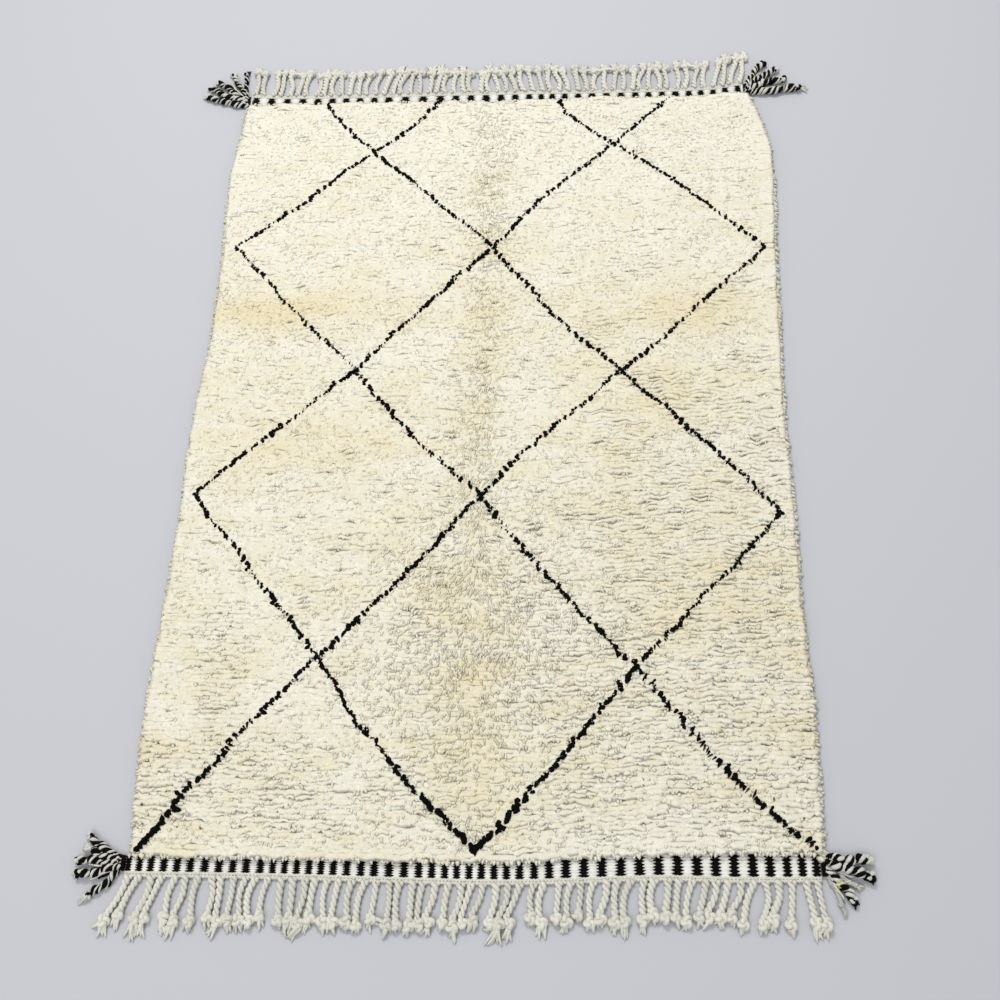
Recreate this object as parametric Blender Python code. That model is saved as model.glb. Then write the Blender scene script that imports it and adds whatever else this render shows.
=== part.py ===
"""Mrirt rug: a shaggy hand-knotted wool rug, laid out on the floor.

The pile field is one lumpy slab with locks of wool at its two long sides. At each end it carries
a flat-woven band, barred in black and white, and then a twined heading from which the warp ends
leave as twisted cords, each with a knot and a frayed tip. A tassel of plied cords is tied to each
corner. Every piece rests on the floor.

Units are metres, +X is across the rug, +Y runs up its length and +Z is up. The origin is the
middle of the rug's box, on the floor.
"""

import bisect
import math
import random
from collections import namedtuple

import bmesh
import bpy
from mathutils import Vector, noise

RUG_NAME = "mrirt_rug"
GAP = 0.0003                    # clearance between two pieces that meet
UPRIGHT = 0.8                   # a wall's normal has at least this share along its direction
SMOOTH_ANGLE = math.radians(40)

# Pile field
PILE_HEIGHT = 0.022             # top of the wool above the floor
PILE_SHOULDER = 0.014           # height of the wool at its rim
SHOULDER_WIDTH = 0.018          # how far in from the rim the wool reaches its full height
PILE_ROWS = 75                  # cells up the length, with a lock at each end of each
PILE_COLUMNS = 18               # cells across the width between the two shoulders
LUMP_HEIGHT = 0.0050
LUMP_SIZE = 0.12
CREASE_X = -0.010               # the fold line along the middle, where the wool is parted
CREASE_DEPTH = 0.005
CREASE_WIDTH = 0.035

# Locks of wool at the two long sides
LOCK_REACH = 0.012              # how far a lock stands out of the slab
LOCK_REACH_VARIES = 0.004
LOCK_LEAN = 0.005
LOCK_ROOT_INSET = 0.002
LOCK_TIP_WIDTH = 0.68           # a lock's width at its tip against its root
LOCK_TIP_HEIGHT = 0.75
LOCK_SEED = 11

# Flat-woven bands and twined headings
BAND_THICKNESS = 0.007
BAND_CROWN = 0.001              # the band's middle stands this much higher
HEADING_WIDTH = 0.012
HEADING_THICKNESS = 0.009

# Warp cords
CORD_WIDTH = 0.0110
CORD_HEIGHT = 0.0095
CORD_ROOT_JITTER = 0.0035
CORD_LEAN_JITTER = 0.011
CORD_SWAY = 0.007
CORD_LENGTH_JITTER = 0.008
TOP_NARROWING = 0.7             # width of a cord's upper face against its lower face

# Tassels
HEAD_WIDTH = 0.012
HEAD_HEIGHT = 0.012
HEAD_INSET = 0.001
CORD_PARTING = 0.0012           # gap between two cords where they leave the head

# The two long edges of the wool, tips of the locks included.
Side = namedtuple("Side", "y left right")
SIDES = (
    Side(-1.040, -0.742, 0.741),
    Side(-0.750, -0.760, 0.748),
    Side(-0.500, -0.753, 0.742),
    Side(-0.250, -0.750, 0.746),
    Side(0.000, -0.752, 0.743),
    Side(0.250, -0.739, 0.751),
    Side(0.500, -0.741, 0.760),
    Side(0.750, -0.752, 0.772),
    Side(0.900, -0.744, 0.763),
    Side(1.040, -0.733, 0.727),
)

# Each end of the rug: where the wool stops, and where the barred band stops.
End = namedtuple("End", "x pile band")
NEAR_END = (
    End(-0.745, -1.048, -1.080),
    End(-0.400, -1.052, -1.079),
    End(-0.110, -1.051, -1.082),
    End(0.070, -1.050, -1.082),
    End(0.235, -1.038, -1.075),
    End(0.390, -1.029, -1.067),
    End(0.550, -1.023, -1.068),
    End(0.725, -1.021, -1.064),
)
FAR_END = (
    End(-0.722, 1.046, 1.082),
    End(-0.640, 1.043, 1.074),
    End(-0.437, 1.041, 1.070),
    End(-0.163, 1.040, 1.070),
    End(0.094, 1.039, 1.068),
    End(0.354, 1.037, 1.065),
    End(0.585, 1.037, 1.066),
    End(0.650, 1.040, 1.072),
    End(0.703, 1.046, 1.084),
)

# How the warp cords lie along each end: the sideways drift of their knots, and their length.
Lie = namedtuple("Lie", "x drift length")
NEAR_LIE = (
    Lie(-0.740, -0.038, 0.072),
    Lie(-0.660, -0.022, 0.072),
    Lie(-0.580, -0.010, 0.074),
    Lie(-0.450, -0.009, 0.072),
    Lie(-0.300, -0.013, 0.068),
    Lie(-0.180, -0.004, 0.070),
    Lie(-0.080, -0.016, 0.072),
    Lie(0.080, -0.022, 0.066),
    Lie(0.180, -0.004, 0.060),
    Lie(0.330, -0.010, 0.061),
    Lie(0.430, -0.016, 0.064),
    Lie(0.520, -0.024, 0.062),
    Lie(0.620, -0.018, 0.064),
    Lie(0.715, 0.014, 0.070),
)
FAR_LIE = (
    Lie(-0.712, 0.008, 0.068),
    Lie(-0.560, 0.004, 0.064),
    Lie(-0.420, 0.008, 0.062),
    Lie(-0.280, 0.011, 0.066),
    Lie(-0.150, -0.002, 0.064),
    Lie(-0.060, 0.000, 0.062),
    Lie(0.020, -0.011, 0.066),
    Lie(0.140, -0.013, 0.070),
    Lie(0.250, 0.000, 0.060),
    Lie(0.360, 0.002, 0.062),
    Lie(0.460, 0.004, 0.066),
    Lie(0.600, 0.010, 0.070),
    Lie(0.693, 0.018, 0.074),
)

# A warp cord from its root to its tip. Along is in cord lengths up to the knot and in metres
# past it; lean is the share of the drift that has been taken up; apart is the least distance
# between two neighbours there.
Station = namedtuple("Station", "along past lean width height apart")
CORD_STATIONS = (
    Station(0.45, 0.000, 0.38, CORD_WIDTH, CORD_HEIGHT, 0.0140),
    Station(0.98, 0.000, 0.92, 0.0120, 0.0100, 0.0170),
    Station(1.00, 0.010, 1.00, 0.0195, 0.0165, 0.0215),
    Station(1.00, 0.023, 1.05, 0.0145, 0.0110, 0.0190),
    Station(1.00, 0.041, 1.15, 0.0080, 0.0060, 0.0120),
)

# The two fringes: the direction along Y in which the cords leave the rug.
Fringe = namedtuple("Fringe", "name end lie direction cords seed")
FRINGES = (
    Fringe("fringe_near", NEAR_END, NEAR_LIE, -1, 58, 9),
    Fringe("fringe_far", FAR_END, FAR_LIE, 1, 56, 8),
)

# The cords of each tassel, in order from the wool towards the fringe: where the knotted end
# lies, how far the cord bows aside on its way there, and its width.
Ply = namedtuple("Ply", "x y bow width")
Tassel = namedtuple("Tassel", "name end side direction plies")
TASSELS = (
    Tassel("tassel_near_left", NEAR_END, -1, -1, (
        Ply(-0.832, -1.004, 0.006, 0.0115),
        Ply(-0.834, -1.034, 0.003, 0.0115),
        Ply(-0.852, -1.058, 0.000, 0.0120),
        Ply(-0.847, -1.088, 0.003, 0.0130),
        Ply(-0.819, -1.132, 0.006, 0.0115),
    )),
    Tassel("tassel_near_right", NEAR_END, 1, -1, (
        Ply(0.826, -1.030, 0.002, 0.0140),
        Ply(0.829, -1.062, 0.002, 0.0150),
        Ply(0.801, -1.087, 0.000, 0.0070),
        Ply(0.788, -1.113, -0.002, 0.0125),
        Ply(0.767, -1.136, -0.002, 0.0070),
    )),
    Tassel("tassel_far_left", FAR_END, -1, 1, (
        Ply(-0.856, 1.092, 0.007, 0.0130),
        Ply(-0.852, 1.120, 0.003, 0.0130),
        Ply(-0.831, 1.146, 0.000, 0.0120),
        Ply(-0.787, 1.170, -0.002, 0.0110),
        Ply(-0.749, 1.178, 0.000, 0.0090),
    )),
    Tassel("tassel_far_right", FAR_END, 1, 1, (
        Ply(0.866, 1.064, 0.001, 0.0140),
        Ply(0.822, 1.100, -0.003, 0.0140),
        Ply(0.804, 1.132, -0.006, 0.0130),
        Ply(0.768, 1.160, -0.006, 0.0130),
    )),
)

# A tassel's cord from its head to its tip, as shares of its run.
PlyStation = namedtuple("PlyStation", "along width height")
PLY_STATIONS = (
    PlyStation(0.30, 0.75, 0.0090),
    PlyStation(0.55, 1.00, 0.0095),
    PlyStation(0.78, 1.00, 0.0100),
    PlyStation(0.90, 1.35, 0.0140),
    PlyStation(1.00, 0.80, 0.0070),
)

# Colour as linear RGB, and roughness.
Finish = namedtuple("Finish", "colour roughness")
FINISHES = {
    "pile_wool": Finish((0.80, 0.74, 0.60), 0.95),
    "band_wool": Finish((0.42, 0.40, 0.36), 0.90),
    "warp_wool": Finish((0.70, 0.67, 0.58), 0.90),
    "plied_wool": Finish((0.22, 0.21, 0.20), 0.90),
}


def clear_scene():
    for item in list(bpy.data.objects):
        bpy.data.objects.remove(item, do_unlink=True)


def wool_material(name):
    """One wool finish as a Principled BSDF."""
    finish = FINISHES[name]
    material = bpy.data.materials.new(name)
    material.use_nodes = True
    shader = material.node_tree.nodes["Principled BSDF"]
    shader.inputs["Base Color"].default_value = (*finish.colour, 1.0)
    shader.inputs["Roughness"].default_value = finish.roughness
    shader.inputs["Metallic"].default_value = 0.0
    return material


def blend(start, stop, share):
    return start + (stop - start) * share


def follow(rows, key, value, at):
    """Read column value of a table, at a place in column key, off a smooth curve."""
    places = [getattr(row, key) for row in rows]
    heights = [getattr(row, value) for row in rows]
    here = min(max(bisect.bisect_right(places, at) - 1, 0), len(rows) - 2)
    step = places[here + 1] - places[here]
    t = min(max((at - places[here]) / step, 0.0), 1.0)
    before = max(here - 1, 0)
    after = min(here + 2, len(rows) - 1)
    leave = (heights[here + 1] - heights[before]) / (places[here + 1] - places[before]) * step
    arrive = (heights[after] - heights[here]) / (places[after] - places[here]) * step
    keep = (2 * t - 3) * t * t + 1
    return (
        heights[here] * keep
        + heights[here + 1] * (1 - keep)
        + leave * t * (1 - t) ** 2
        - arrive * t * t * (1 - t)
    )


def stations(start, stop, cells):
    return [blend(start, stop, i / cells) for i in range(cells + 1)]


def pile_columns():
    """Stations across the wool, as shares of its width, with a narrow shoulder at each side."""
    shoulder = SHOULDER_WIDTH / (SIDES[0].right - SIDES[0].left)
    return [0.0] + stations(shoulder, 1 - shoulder, PILE_COLUMNS) + [1.0]


def pile_x(u, y):
    left = follow(SIDES, "y", "left", y) + LOCK_REACH
    right = follow(SIDES, "y", "right", y) - LOCK_REACH
    return blend(left, right, u)


def end_stations(end):
    """Where the wool, the band and the heading have their corners along one end of the rug."""
    level = SIDES[0].y if end is NEAR_END else SIDES[-1].y
    corners = [pile_x(u, level) for u in pile_columns()]
    return [end[0].x] + [x for x in corners if end[0].x < x < end[-1].x] + [end[-1].x]


def end_line(end, value, x):
    """The wool's or the band's edge as straight stretches between the end's stations."""
    corners = end_stations(end)
    here = min(max(bisect.bisect_right(corners, x) - 1, 0), len(corners) - 2)
    share = min(max((x - corners[here]) / (corners[here + 1] - corners[here]), 0.0), 1.0)
    start = follow(end, "x", value, corners[here])
    stop = follow(end, "x", value, corners[here + 1])
    return blend(start, stop, share)


def slab(across, along, top):
    """A closed slab: a grid of cells set at top(u, v), walls down to the floor and a flat base."""
    bm = bmesh.new()
    columns = len(across) - 1
    rows = len(along) - 1
    bmesh.ops.create_grid(bm, x_segments=columns, y_segments=rows, size=0.5)
    for vert in bm.verts:
        u = across[round((vert.co.x + 0.5) * columns)]
        v = along[round((vert.co.y + 0.5) * rows)]
        vert.co = top(u, v)
    rim = [edge for edge in bm.edges if edge.is_boundary]
    lowered = bmesh.ops.extrude_edge_only(bm, edges=rim)["geom"]
    for vert in lowered:
        if isinstance(vert, bmesh.types.BMVert):
            vert.co.z = 0.0
    base = [item for item in lowered if isinstance(item, bmesh.types.BMEdge)]
    bmesh.ops.contextual_create(bm, geom=base)
    bmesh.ops.recalc_face_normals(bm, faces=bm.faces)
    return bm


def walls_facing(bm, direction):
    """The slab's upright faces that look along +-X or +-Y, in order along the wall."""
    bm.normal_update()
    faces = [face for face in bm.faces if face.normal.dot(direction) > UPRIGHT]
    along_wall = Vector((abs(direction.y), abs(direction.x), 0.0))
    return sorted(faces, key=lambda face: face.calc_center_median().dot(along_wall))


def extrude_one(bm, face):
    """Draw one face out by itself, and return the new end face."""
    return bmesh.ops.extrude_discrete_faces(bm, faces=[face])["faces"][0]


def draw_cord(bm, root, sections):
    """Draw a four-sided cord out of a root face. Every section rests on the floor."""
    face = root
    for centre, sideways, width, height in sections:
        face = extrude_one(bm, face)
        by_height = sorted(face.verts, key=lambda vert: vert.co.z)
        for pair, spread, level in (
            (by_height[:2], width, 0.0),
            (by_height[2:], width * TOP_NARROWING, height),
        ):
            for vert, turn in zip(sorted(pair, key=lambda vert: vert.co.dot(sideways)), (-0.5, 0.5)):
                vert.co = centre + sideways * spread * turn
                vert.co.z = level


def add_object(name, bm, material, collection):
    mesh = bpy.data.meshes.new(name)
    bm.to_mesh(mesh)
    bm.free()
    mesh.shade_smooth()
    mesh.set_sharp_from_angle(angle=SMOOTH_ANGLE)
    mesh.materials.append(material)
    piece = bpy.data.objects.new(name, mesh)
    collection.objects.link(piece)
    return piece


def pile_top(x, y):
    """Height of the wool, with its lumps and the parting along the middle."""
    lumps = LUMP_HEIGHT * noise.noise(Vector((x, y, 0.0)) / LUMP_SIZE)
    parting = (x - CREASE_X) / CREASE_WIDTH
    return PILE_HEIGHT + lumps - CREASE_DEPTH / (1 + parting * parting)


def build_pile(material, collection):
    draw = random.Random(LOCK_SEED)

    def top(u, v):
        x = pile_x(u, blend(SIDES[0].y, SIDES[-1].y, v))
        y = blend(end_line(NEAR_END, "pile", x), end_line(FAR_END, "pile", x), v)
        on_rim = u in (0.0, 1.0) or v in (0.0, 1.0)
        return Vector((x, y, PILE_SHOULDER if on_rim else pile_top(x, y)))

    bm = slab(pile_columns(), stations(0.0, 1.0, PILE_ROWS), top)
    for side in (-1, 1):
        roots = walls_facing(bm, Vector((side, 0.0, 0.0)))
        bmesh.ops.inset_individual(bm, faces=roots, thickness=LOCK_ROOT_INSET)
        for root in roots:
            tip = extrude_one(bm, root)
            reach = LOCK_REACH + draw.uniform(-LOCK_REACH_VARIES, LOCK_REACH_VARIES)
            middle = tip.calc_center_median().y
            lean = draw.uniform(-LOCK_LEAN, LOCK_LEAN)
            for vert in tip.verts:
                vert.co.x += side * reach
                vert.co.y = middle + lean + (vert.co.y - middle) * LOCK_TIP_WIDTH
                vert.co.z = max(vert.co.z - LOCK_ROOT_INSET, 0.0) * LOCK_TIP_HEIGHT
    return add_object("pile_field", bm, material, collection)


def strip(across, end, direction, inner, outer, thickness, crown=0.0):
    """A narrow slab along one end of the rug, between two distances from the wool or the band."""

    def top(u, v):
        edge = end_line(end, inner[0], u) + direction * inner[1]
        brink = end_line(end, outer[0], u) + direction * outer[1]
        middle = 1 - abs(2 * v - 1)
        return Vector((u, blend(edge, brink, v), thickness + crown * middle))

    return slab(across, stations(0.0, 1.0, 2 if crown else 1), top)


def build_band(name, end, direction, material, collection):
    bm = strip(end_stations(end), end, direction, ("pile", GAP), ("band", 0.0),
               BAND_THICKNESS, BAND_CROWN)
    return add_object(name, bm, material, collection)


def keep_apart(places, least):
    """Push each place along so that it stays at least a given distance from the one before."""
    apart = places[:1]
    for place in places[1:]:
        apart.append(max(place, apart[-1] + least))
    return apart


def cord_roots(fringe, draw):
    """Where the cords leave the heading: evenly spaced, each a little off its place."""
    first = fringe.end[0].x + CORD_WIDTH
    last = fringe.end[-1].x - CORD_WIDTH
    places = stations(first, last, fringe.cords - 1)
    inner = [x + draw.uniform(-CORD_ROOT_JITTER, CORD_ROOT_JITTER) for x in places[1:-1]]
    return places[:1] + inner + places[-1:]


def cord_paths(fringe, roots, draw):
    """For each station, the place of every cord's centre."""
    drifts = [
        follow(fringe.lie, "x", "drift", x) + draw.uniform(-CORD_LEAN_JITTER, CORD_LEAN_JITTER)
        for x in roots
    ]
    sways = [draw.uniform(-CORD_SWAY, CORD_SWAY) for _ in roots]
    lengths = [
        follow(fringe.lie, "x", "length", x) + draw.uniform(-CORD_LENGTH_JITTER, CORD_LENGTH_JITTER)
        for x in roots
    ]
    paths = []
    for station in CORD_STATIONS:
        swing = 1 - station.along
        xs = [x + d * station.lean + s * swing * 2 for x, d, s in zip(roots, drifts, sways)]
        xs = keep_apart(xs, station.apart)
        reaches = [HEADING_WIDTH + length * station.along + station.past for length in lengths]
        paths.append([
            Vector((x, follow(fringe.end, "x", "band", root) + fringe.direction * reach, 0.0))
            for x, root, reach in zip(xs, roots, reaches)
        ])
    return paths


def build_fringe(fringe, material, collection):
    """The twined heading, with a cord drawn out of its outer wall at each root."""
    draw = random.Random(fringe.seed)
    roots = cord_roots(fringe, draw)
    paths = cord_paths(fringe, roots, draw)
    across = [fringe.end[0].x]
    for x in roots:
        across += [x - CORD_WIDTH / 2, x + CORD_WIDTH / 2]
    across.append(fringe.end[-1].x)
    bm = strip(across, fringe.end, fringe.direction, ("band", GAP), ("band", HEADING_WIDTH),
               HEADING_THICKNESS)
    walls = walls_facing(bm, Vector((0.0, fringe.direction, 0.0)))
    sideways = Vector((1.0, 0.0, 0.0))
    for i, root in enumerate(walls[1::2]):
        sections = [
            (paths[s][i], sideways, station.width, station.height)
            for s, station in enumerate(CORD_STATIONS)
        ]
        draw_cord(bm, root, sections)
    return add_object(fringe.name, bm, material, collection)


def build_tassel(tassel, material, collection):
    """A head bound to the band's end, with its cords fanned out of the outer wall."""
    corner = tassel.end[0] if tassel.side < 0 else tassel.end[-1]
    inner_x = corner.x + tassel.side * GAP
    outer_x = inner_x + tassel.side * HEAD_WIDTH
    across = sorted((inner_x, outer_x))
    start = corner.pile + tassel.direction * (GAP + HEAD_INSET)
    stop = corner.band
    count = len(tassel.plies)
    pitch = (stop - start) / count
    parting = CORD_PARTING / 2 * tassel.direction
    along = [start]
    for i in range(count):
        along += [start + pitch * i + parting, start + pitch * (i + 1) - parting]
    along.append(stop)
    along.sort()
    bm = slab(across, along, lambda u, v: Vector((u, v, HEAD_HEIGHT)))
    walls = walls_facing(bm, Vector((tassel.side, 0.0, 0.0)))[1::2]
    if tassel.direction < 0:
        walls.reverse()
    for root, ply in zip(walls, tassel.plies):
        origin = root.calc_center_median()
        origin.z = 0.0
        run = Vector((ply.x, ply.y, 0.0)) - origin
        sideways = Vector((-run.y, run.x, 0.0)).normalized()
        sections = []
        for station in PLY_STATIONS:
            bow = ply.bow * 4 * station.along * (1 - station.along) * -tassel.side
            centre = origin + run * station.along + sideways * bow
            sections.append((centre, sideways, ply.width * station.width, station.height))
        draw_cord(bm, root, sections)
    return add_object(tassel.name, bm, material, collection)


def centre_on_origin(pieces):
    """Move every piece alike so that the middle of the rug's box is the origin."""
    points = [vert.co for piece in pieces for vert in piece.data.vertices]
    xs = [point.x for point in points]
    ys = [point.y for point in points]
    shift = Vector(((min(xs) + max(xs)) / -2, (min(ys) + max(ys)) / -2, 0.0))
    for piece in pieces:
        piece.location = shift


def main():
    clear_scene()
    collection = bpy.data.collections.new(RUG_NAME)
    bpy.context.scene.collection.children.link(collection)
    pile_wool = wool_material("pile_wool")
    band_wool = wool_material("band_wool")
    warp_wool = wool_material("warp_wool")
    plied_wool = wool_material("plied_wool")
    pieces = [
        build_pile(pile_wool, collection),
        build_band("band_near", NEAR_END, -1, band_wool, collection),
        build_band("band_far", FAR_END, 1, band_wool, collection),
    ]
    pieces += [build_fringe(fringe, warp_wool, collection) for fringe in FRINGES]
    pieces += [build_tassel(tassel, plied_wool, collection) for tassel in TASSELS]
    centre_on_origin(pieces)


main()
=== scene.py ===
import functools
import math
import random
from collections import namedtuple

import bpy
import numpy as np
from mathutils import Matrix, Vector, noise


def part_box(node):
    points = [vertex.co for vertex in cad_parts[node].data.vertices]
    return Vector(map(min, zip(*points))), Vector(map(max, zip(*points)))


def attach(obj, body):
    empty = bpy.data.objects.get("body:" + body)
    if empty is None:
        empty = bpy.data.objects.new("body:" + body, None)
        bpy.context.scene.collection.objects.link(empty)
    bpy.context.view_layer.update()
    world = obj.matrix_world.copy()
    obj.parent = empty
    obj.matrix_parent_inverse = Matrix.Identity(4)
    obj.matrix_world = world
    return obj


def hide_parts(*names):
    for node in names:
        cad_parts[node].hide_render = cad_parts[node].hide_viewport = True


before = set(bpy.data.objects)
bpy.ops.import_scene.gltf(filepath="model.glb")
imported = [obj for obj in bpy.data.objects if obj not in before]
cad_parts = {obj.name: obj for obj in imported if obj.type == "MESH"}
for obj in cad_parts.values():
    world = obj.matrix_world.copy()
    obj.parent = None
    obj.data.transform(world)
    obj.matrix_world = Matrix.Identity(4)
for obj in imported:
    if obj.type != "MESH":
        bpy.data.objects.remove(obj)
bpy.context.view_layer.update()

# Looks of the mrirt rug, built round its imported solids.
#
# The pile is knotted in rows across a thin ground cloth. Each row is a ridge of wool combed towards
# the near end, with loose locks over it, and the black lattice is knotted lock by lock. The bands
# at the two ends are laid stitch by stitch, the headings are twined from four strands, and every
# warp cord is twisted from two strands, with an overhand knot and frayed ends. The tassels' cords
# are plied from five thin strands, black and ivory in turn.
#
# The tables give places in the rug's own measure, with the middle of its wool as the origin;
# SHIFT takes them to the frame. Units are metres, +X is across and +Y is up the rug's length.


def table(columns, *rows):
    """Rows of values, each under the names of its columns."""
    row = namedtuple("Row", columns)
    return tuple(row(*values) for values in rows)


# Pile, as the solids have it
PILE_HEIGHT = 0.022
SHOULDER_WIDTH = 0.018
PILE_COLUMNS = 18
LUMP_HEIGHT = 0.0050
LUMP_SIZE = 0.12
CREASE_X = -0.010
CREASE_DEPTH = 0.005
CREASE_WIDTH = 0.035
LOCK_REACH = 0.012
LOCK_REACH_VARIES = 0.004

# Rows of knots, each combed into a ridge that laps over the next
ROW_PITCH = 0.0102
COLUMN_PITCH = 0.0065           # two columns to a knot
ROW_REACH = 0.0200              # how far a row is combed towards the near end
TOP_SINK = 0.0012               # the highest wool, under the pile's top in the solids
# The shade column is painted shade: each row is darkened towards its root, buried under the next
# row, and at its shoulder.
ROW_STATIONS = table("along sink groove parted merged shade",
    (0.0, 0.011, 0.0, 0.0, -0.0085, 0.7), (0.22, 0.0026, 0.0004, 0.005, -0.0012, 0.92),
    (0.62, 0.001, 0.0008, 0.0, 0.0003, 1.0), (1.0, 0.003, 0.0006, -0.0014, 0.0004, 1.0),
)
PILE_SEED = 5
PILE_PIECES = 4
PARTING = 0.16                  # the larger, the fewer places where the rows part
FAN_X = -0.02                   # the middle of the wool that fans out of the crease
FAN_Y = -0.62
FAN_ACROSS = 0.26               # how far it reaches to both sides
FAN_ALONG = 0.32
FAN_SHARE = 0.85                # of the wool there, how much of it fans
WARMTH = 0.30                   # share of the warm wool where no patch changes it

# Single locks of wool
# In both, the shade column is painted shade that darkens each lock towards its root.
TUFT_RINGS = table("along width shade", (0.0, 0.70, 0.82), (0.45, 1.0, 0.97), (0.80, 0.72, 1.0))
WISP_RINGS = table("along width shade", (0.0, 0.60, 0.88), (0.55, 1.0, 1.0))
LOCK_FLATNESS = 0.42
FIBRE_LENGTH = 0.012            # of a twisted strand, to one step of the fibre's texture
# Painted shade is warmed: each shade factor is raised to these powers, so blue darkens most,
# standing for light scattered inside the wool.
PAINTED_SHADE_WARMTH = np.array([0.6, 1.0, 1.9])   # how much of a shade each of red, green and blue takes
LOCK_ARCH = 0.0030
LOCK_DEPTH = 0.0060             # how far a lock's root lies under its bend
LOOSE_LOCKS = 24000
LOOSE_REACH = (0.009, 0.019)    # from the shortest to the longest
LOOSE_WIDTH = (0.0038, 0.0072)
LOOSE_DEPTH = 0.0050
LOOSE_DROOP = 0.0024            # of a lock's tip, under its bend
RIM_PITCH = 0.0130
RIM_LAYERS = 4
RIM_WIDTH = (0.0075, 0.0125)
RIM_TOP = (0.0085, 0.0180)      # from the lowest layer to the highest
RIM_DROOP = (0.0060, 0.0105)
END_LOCK_PITCH = 0.0032
END_LOCK_REACH = (0.0095, 0.0140)
END_LOCK_WIDTH = (0.0060, 0.0100)
END_LOCK_DROOP = (0.0095, 0.0040)       # from the outermost lock to the innermost

# Black knots of the lattice
KNOT_STEP = 0.0056
KNOT_REACH = 0.0148
KNOT_WIDTH = 0.0100
KNOT_WIDTHS = (0.0034, 0.0150)  # the least and the most
THIN_KNOT = 0.0042              # the width of a knot where the lattice is worn thin
KNOT_DROOP = 0.0022
KNOT_STRAY = 0.0036             # sideways, from the line of the leg

# Ground cloth
GROUND_DEPTH = 0.0085           # its top, under the pile's top
GROUND_RIM = 0.004
GROUND_INSET = 0.004
GROUND_CELLS = (60, 84)

# Bands, headings and cords
BAND_BASE = 0.0040
STITCH_HEIGHT = 0.0034
STITCH_ROWS = 6
BAR_SHARE = 0.47                # of the bars' pitch, the black between its teeth
BAR_LEAST = 0.004
TOOTH = {"black": 0.0026, "ivory": 0.0010}  # how far the stitches reach beyond their bar
STITCH_DEPTH = {"black": 0.64, "ivory": 0.78}   # half a stitch's width, as a share of its row
HEADING_WIDTH = 0.012
CORD_WIDTH = 0.0110
CORD_ROOT_JITTER = 0.0035
CORD_LEAN_JITTER = 0.011
CORD_SWAY = 0.007
CORD_LENGTH_JITTER = 0.008
TWIST_PITCH = 0.027             # of a warp cord; its lumps are half of this apart
STRAND_OFFSET = 0.0038
STRAND_RADIUS = 0.0047
CORD_MIDDLE = 0.0070
CORD_KNOT = (0.0028, 0.0037)    # the overhand knot's scale
CORD_KNOT_MIDDLE = 0.0088
CORD_KNOT_STRAND = 0.0055
FRAY_SPREAD = 0.19
FRAY_LENGTH = (0.014, 0.034)
FRAY_RADIUS = (0.0032, 0.0052)
LINK_SHARE = 0.16               # of the knots, those with an end lying across to the next
LINK_RADIUS = 0.0040
LINK_LENGTH = 0.036             # the longest
TWINE_PITCH = 0.015             # of the heading's two ropes
TWINE_OFFSET = 0.0019
TWINE_RADIUS = 0.0026
HEAD_WIDTH = 0.012
HEAD_INSET = 0.001
GAP = 0.0003

# The two long edges of the wool, tips of the rim's tufts included.
SIDES = table("y left right",
    (-1.04, -0.742, 0.741), (-0.75, -0.76, 0.748), (-0.5, -0.753, 0.742), (-0.25, -0.75, 0.746),
    (0.0, -0.752, 0.743), (0.25, -0.739, 0.751), (0.5, -0.741, 0.76), (0.75, -0.752, 0.772),
    (0.9, -0.744, 0.763), (1.04, -0.733, 0.727),
)

# Each end of the rug: where the wool stops, and where the barred band stops.
NEAR_END = table("x pile band",
    (-0.745, -1.048, -1.08), (-0.4, -1.052, -1.079), (-0.11, -1.051, -1.082), (0.07, -1.05, -1.082),
    (0.235, -1.038, -1.075), (0.39, -1.029, -1.067), (0.55, -1.023, -1.068),
    (0.725, -1.021, -1.064),
)
FAR_END = table("x pile band",
    (-0.722, 1.046, 1.082), (-0.64, 1.043, 1.074), (-0.437, 1.041, 1.07), (-0.163, 1.04, 1.07),
    (0.094, 1.039, 1.068), (0.354, 1.037, 1.065), (0.585, 1.037, 1.066), (0.65, 1.04, 1.072),
    (0.703, 1.046, 1.084),
)

# Crossings and corners of the black lattice in the wool, and the legs between them. A leg bows
# to the right of its straight line by its bow, halfway along.
Corner = namedtuple("Corner", "x y")
CORNERS = {
    "far_1": Corner(-0.491, 1.041), "far_2": Corner(-0.162, 1.041), "far_3": Corner(0.174, 1.030),
    "far_4": Corner(0.489, 1.031), "upper_left": Corner(-0.341, 0.856),
    "upper_right": Corner(0.333, 0.869), "rim_left_1": Corner(-0.694, 0.536),
    "middle_1": Corner(0.004, 0.525), "rim_right_1": Corner(0.722, 0.511),
    "centre_left": Corner(-0.339, 0.146), "centre_right": Corner(0.337, 0.135),
    "rim_left_2": Corner(-0.711, -0.199), "middle_2": Corner(-0.008, -0.203),
    "rim_right_2": Corner(0.706, -0.252), "lower_left": Corner(-0.368, -0.612),
    "lower_right": Corner(0.353, -0.623), "near_1": Corner(-0.722, -1.040),
    "near_2": Corner(0.007, -1.030), "near_3": Corner(0.719, -1.013),
}
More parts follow.
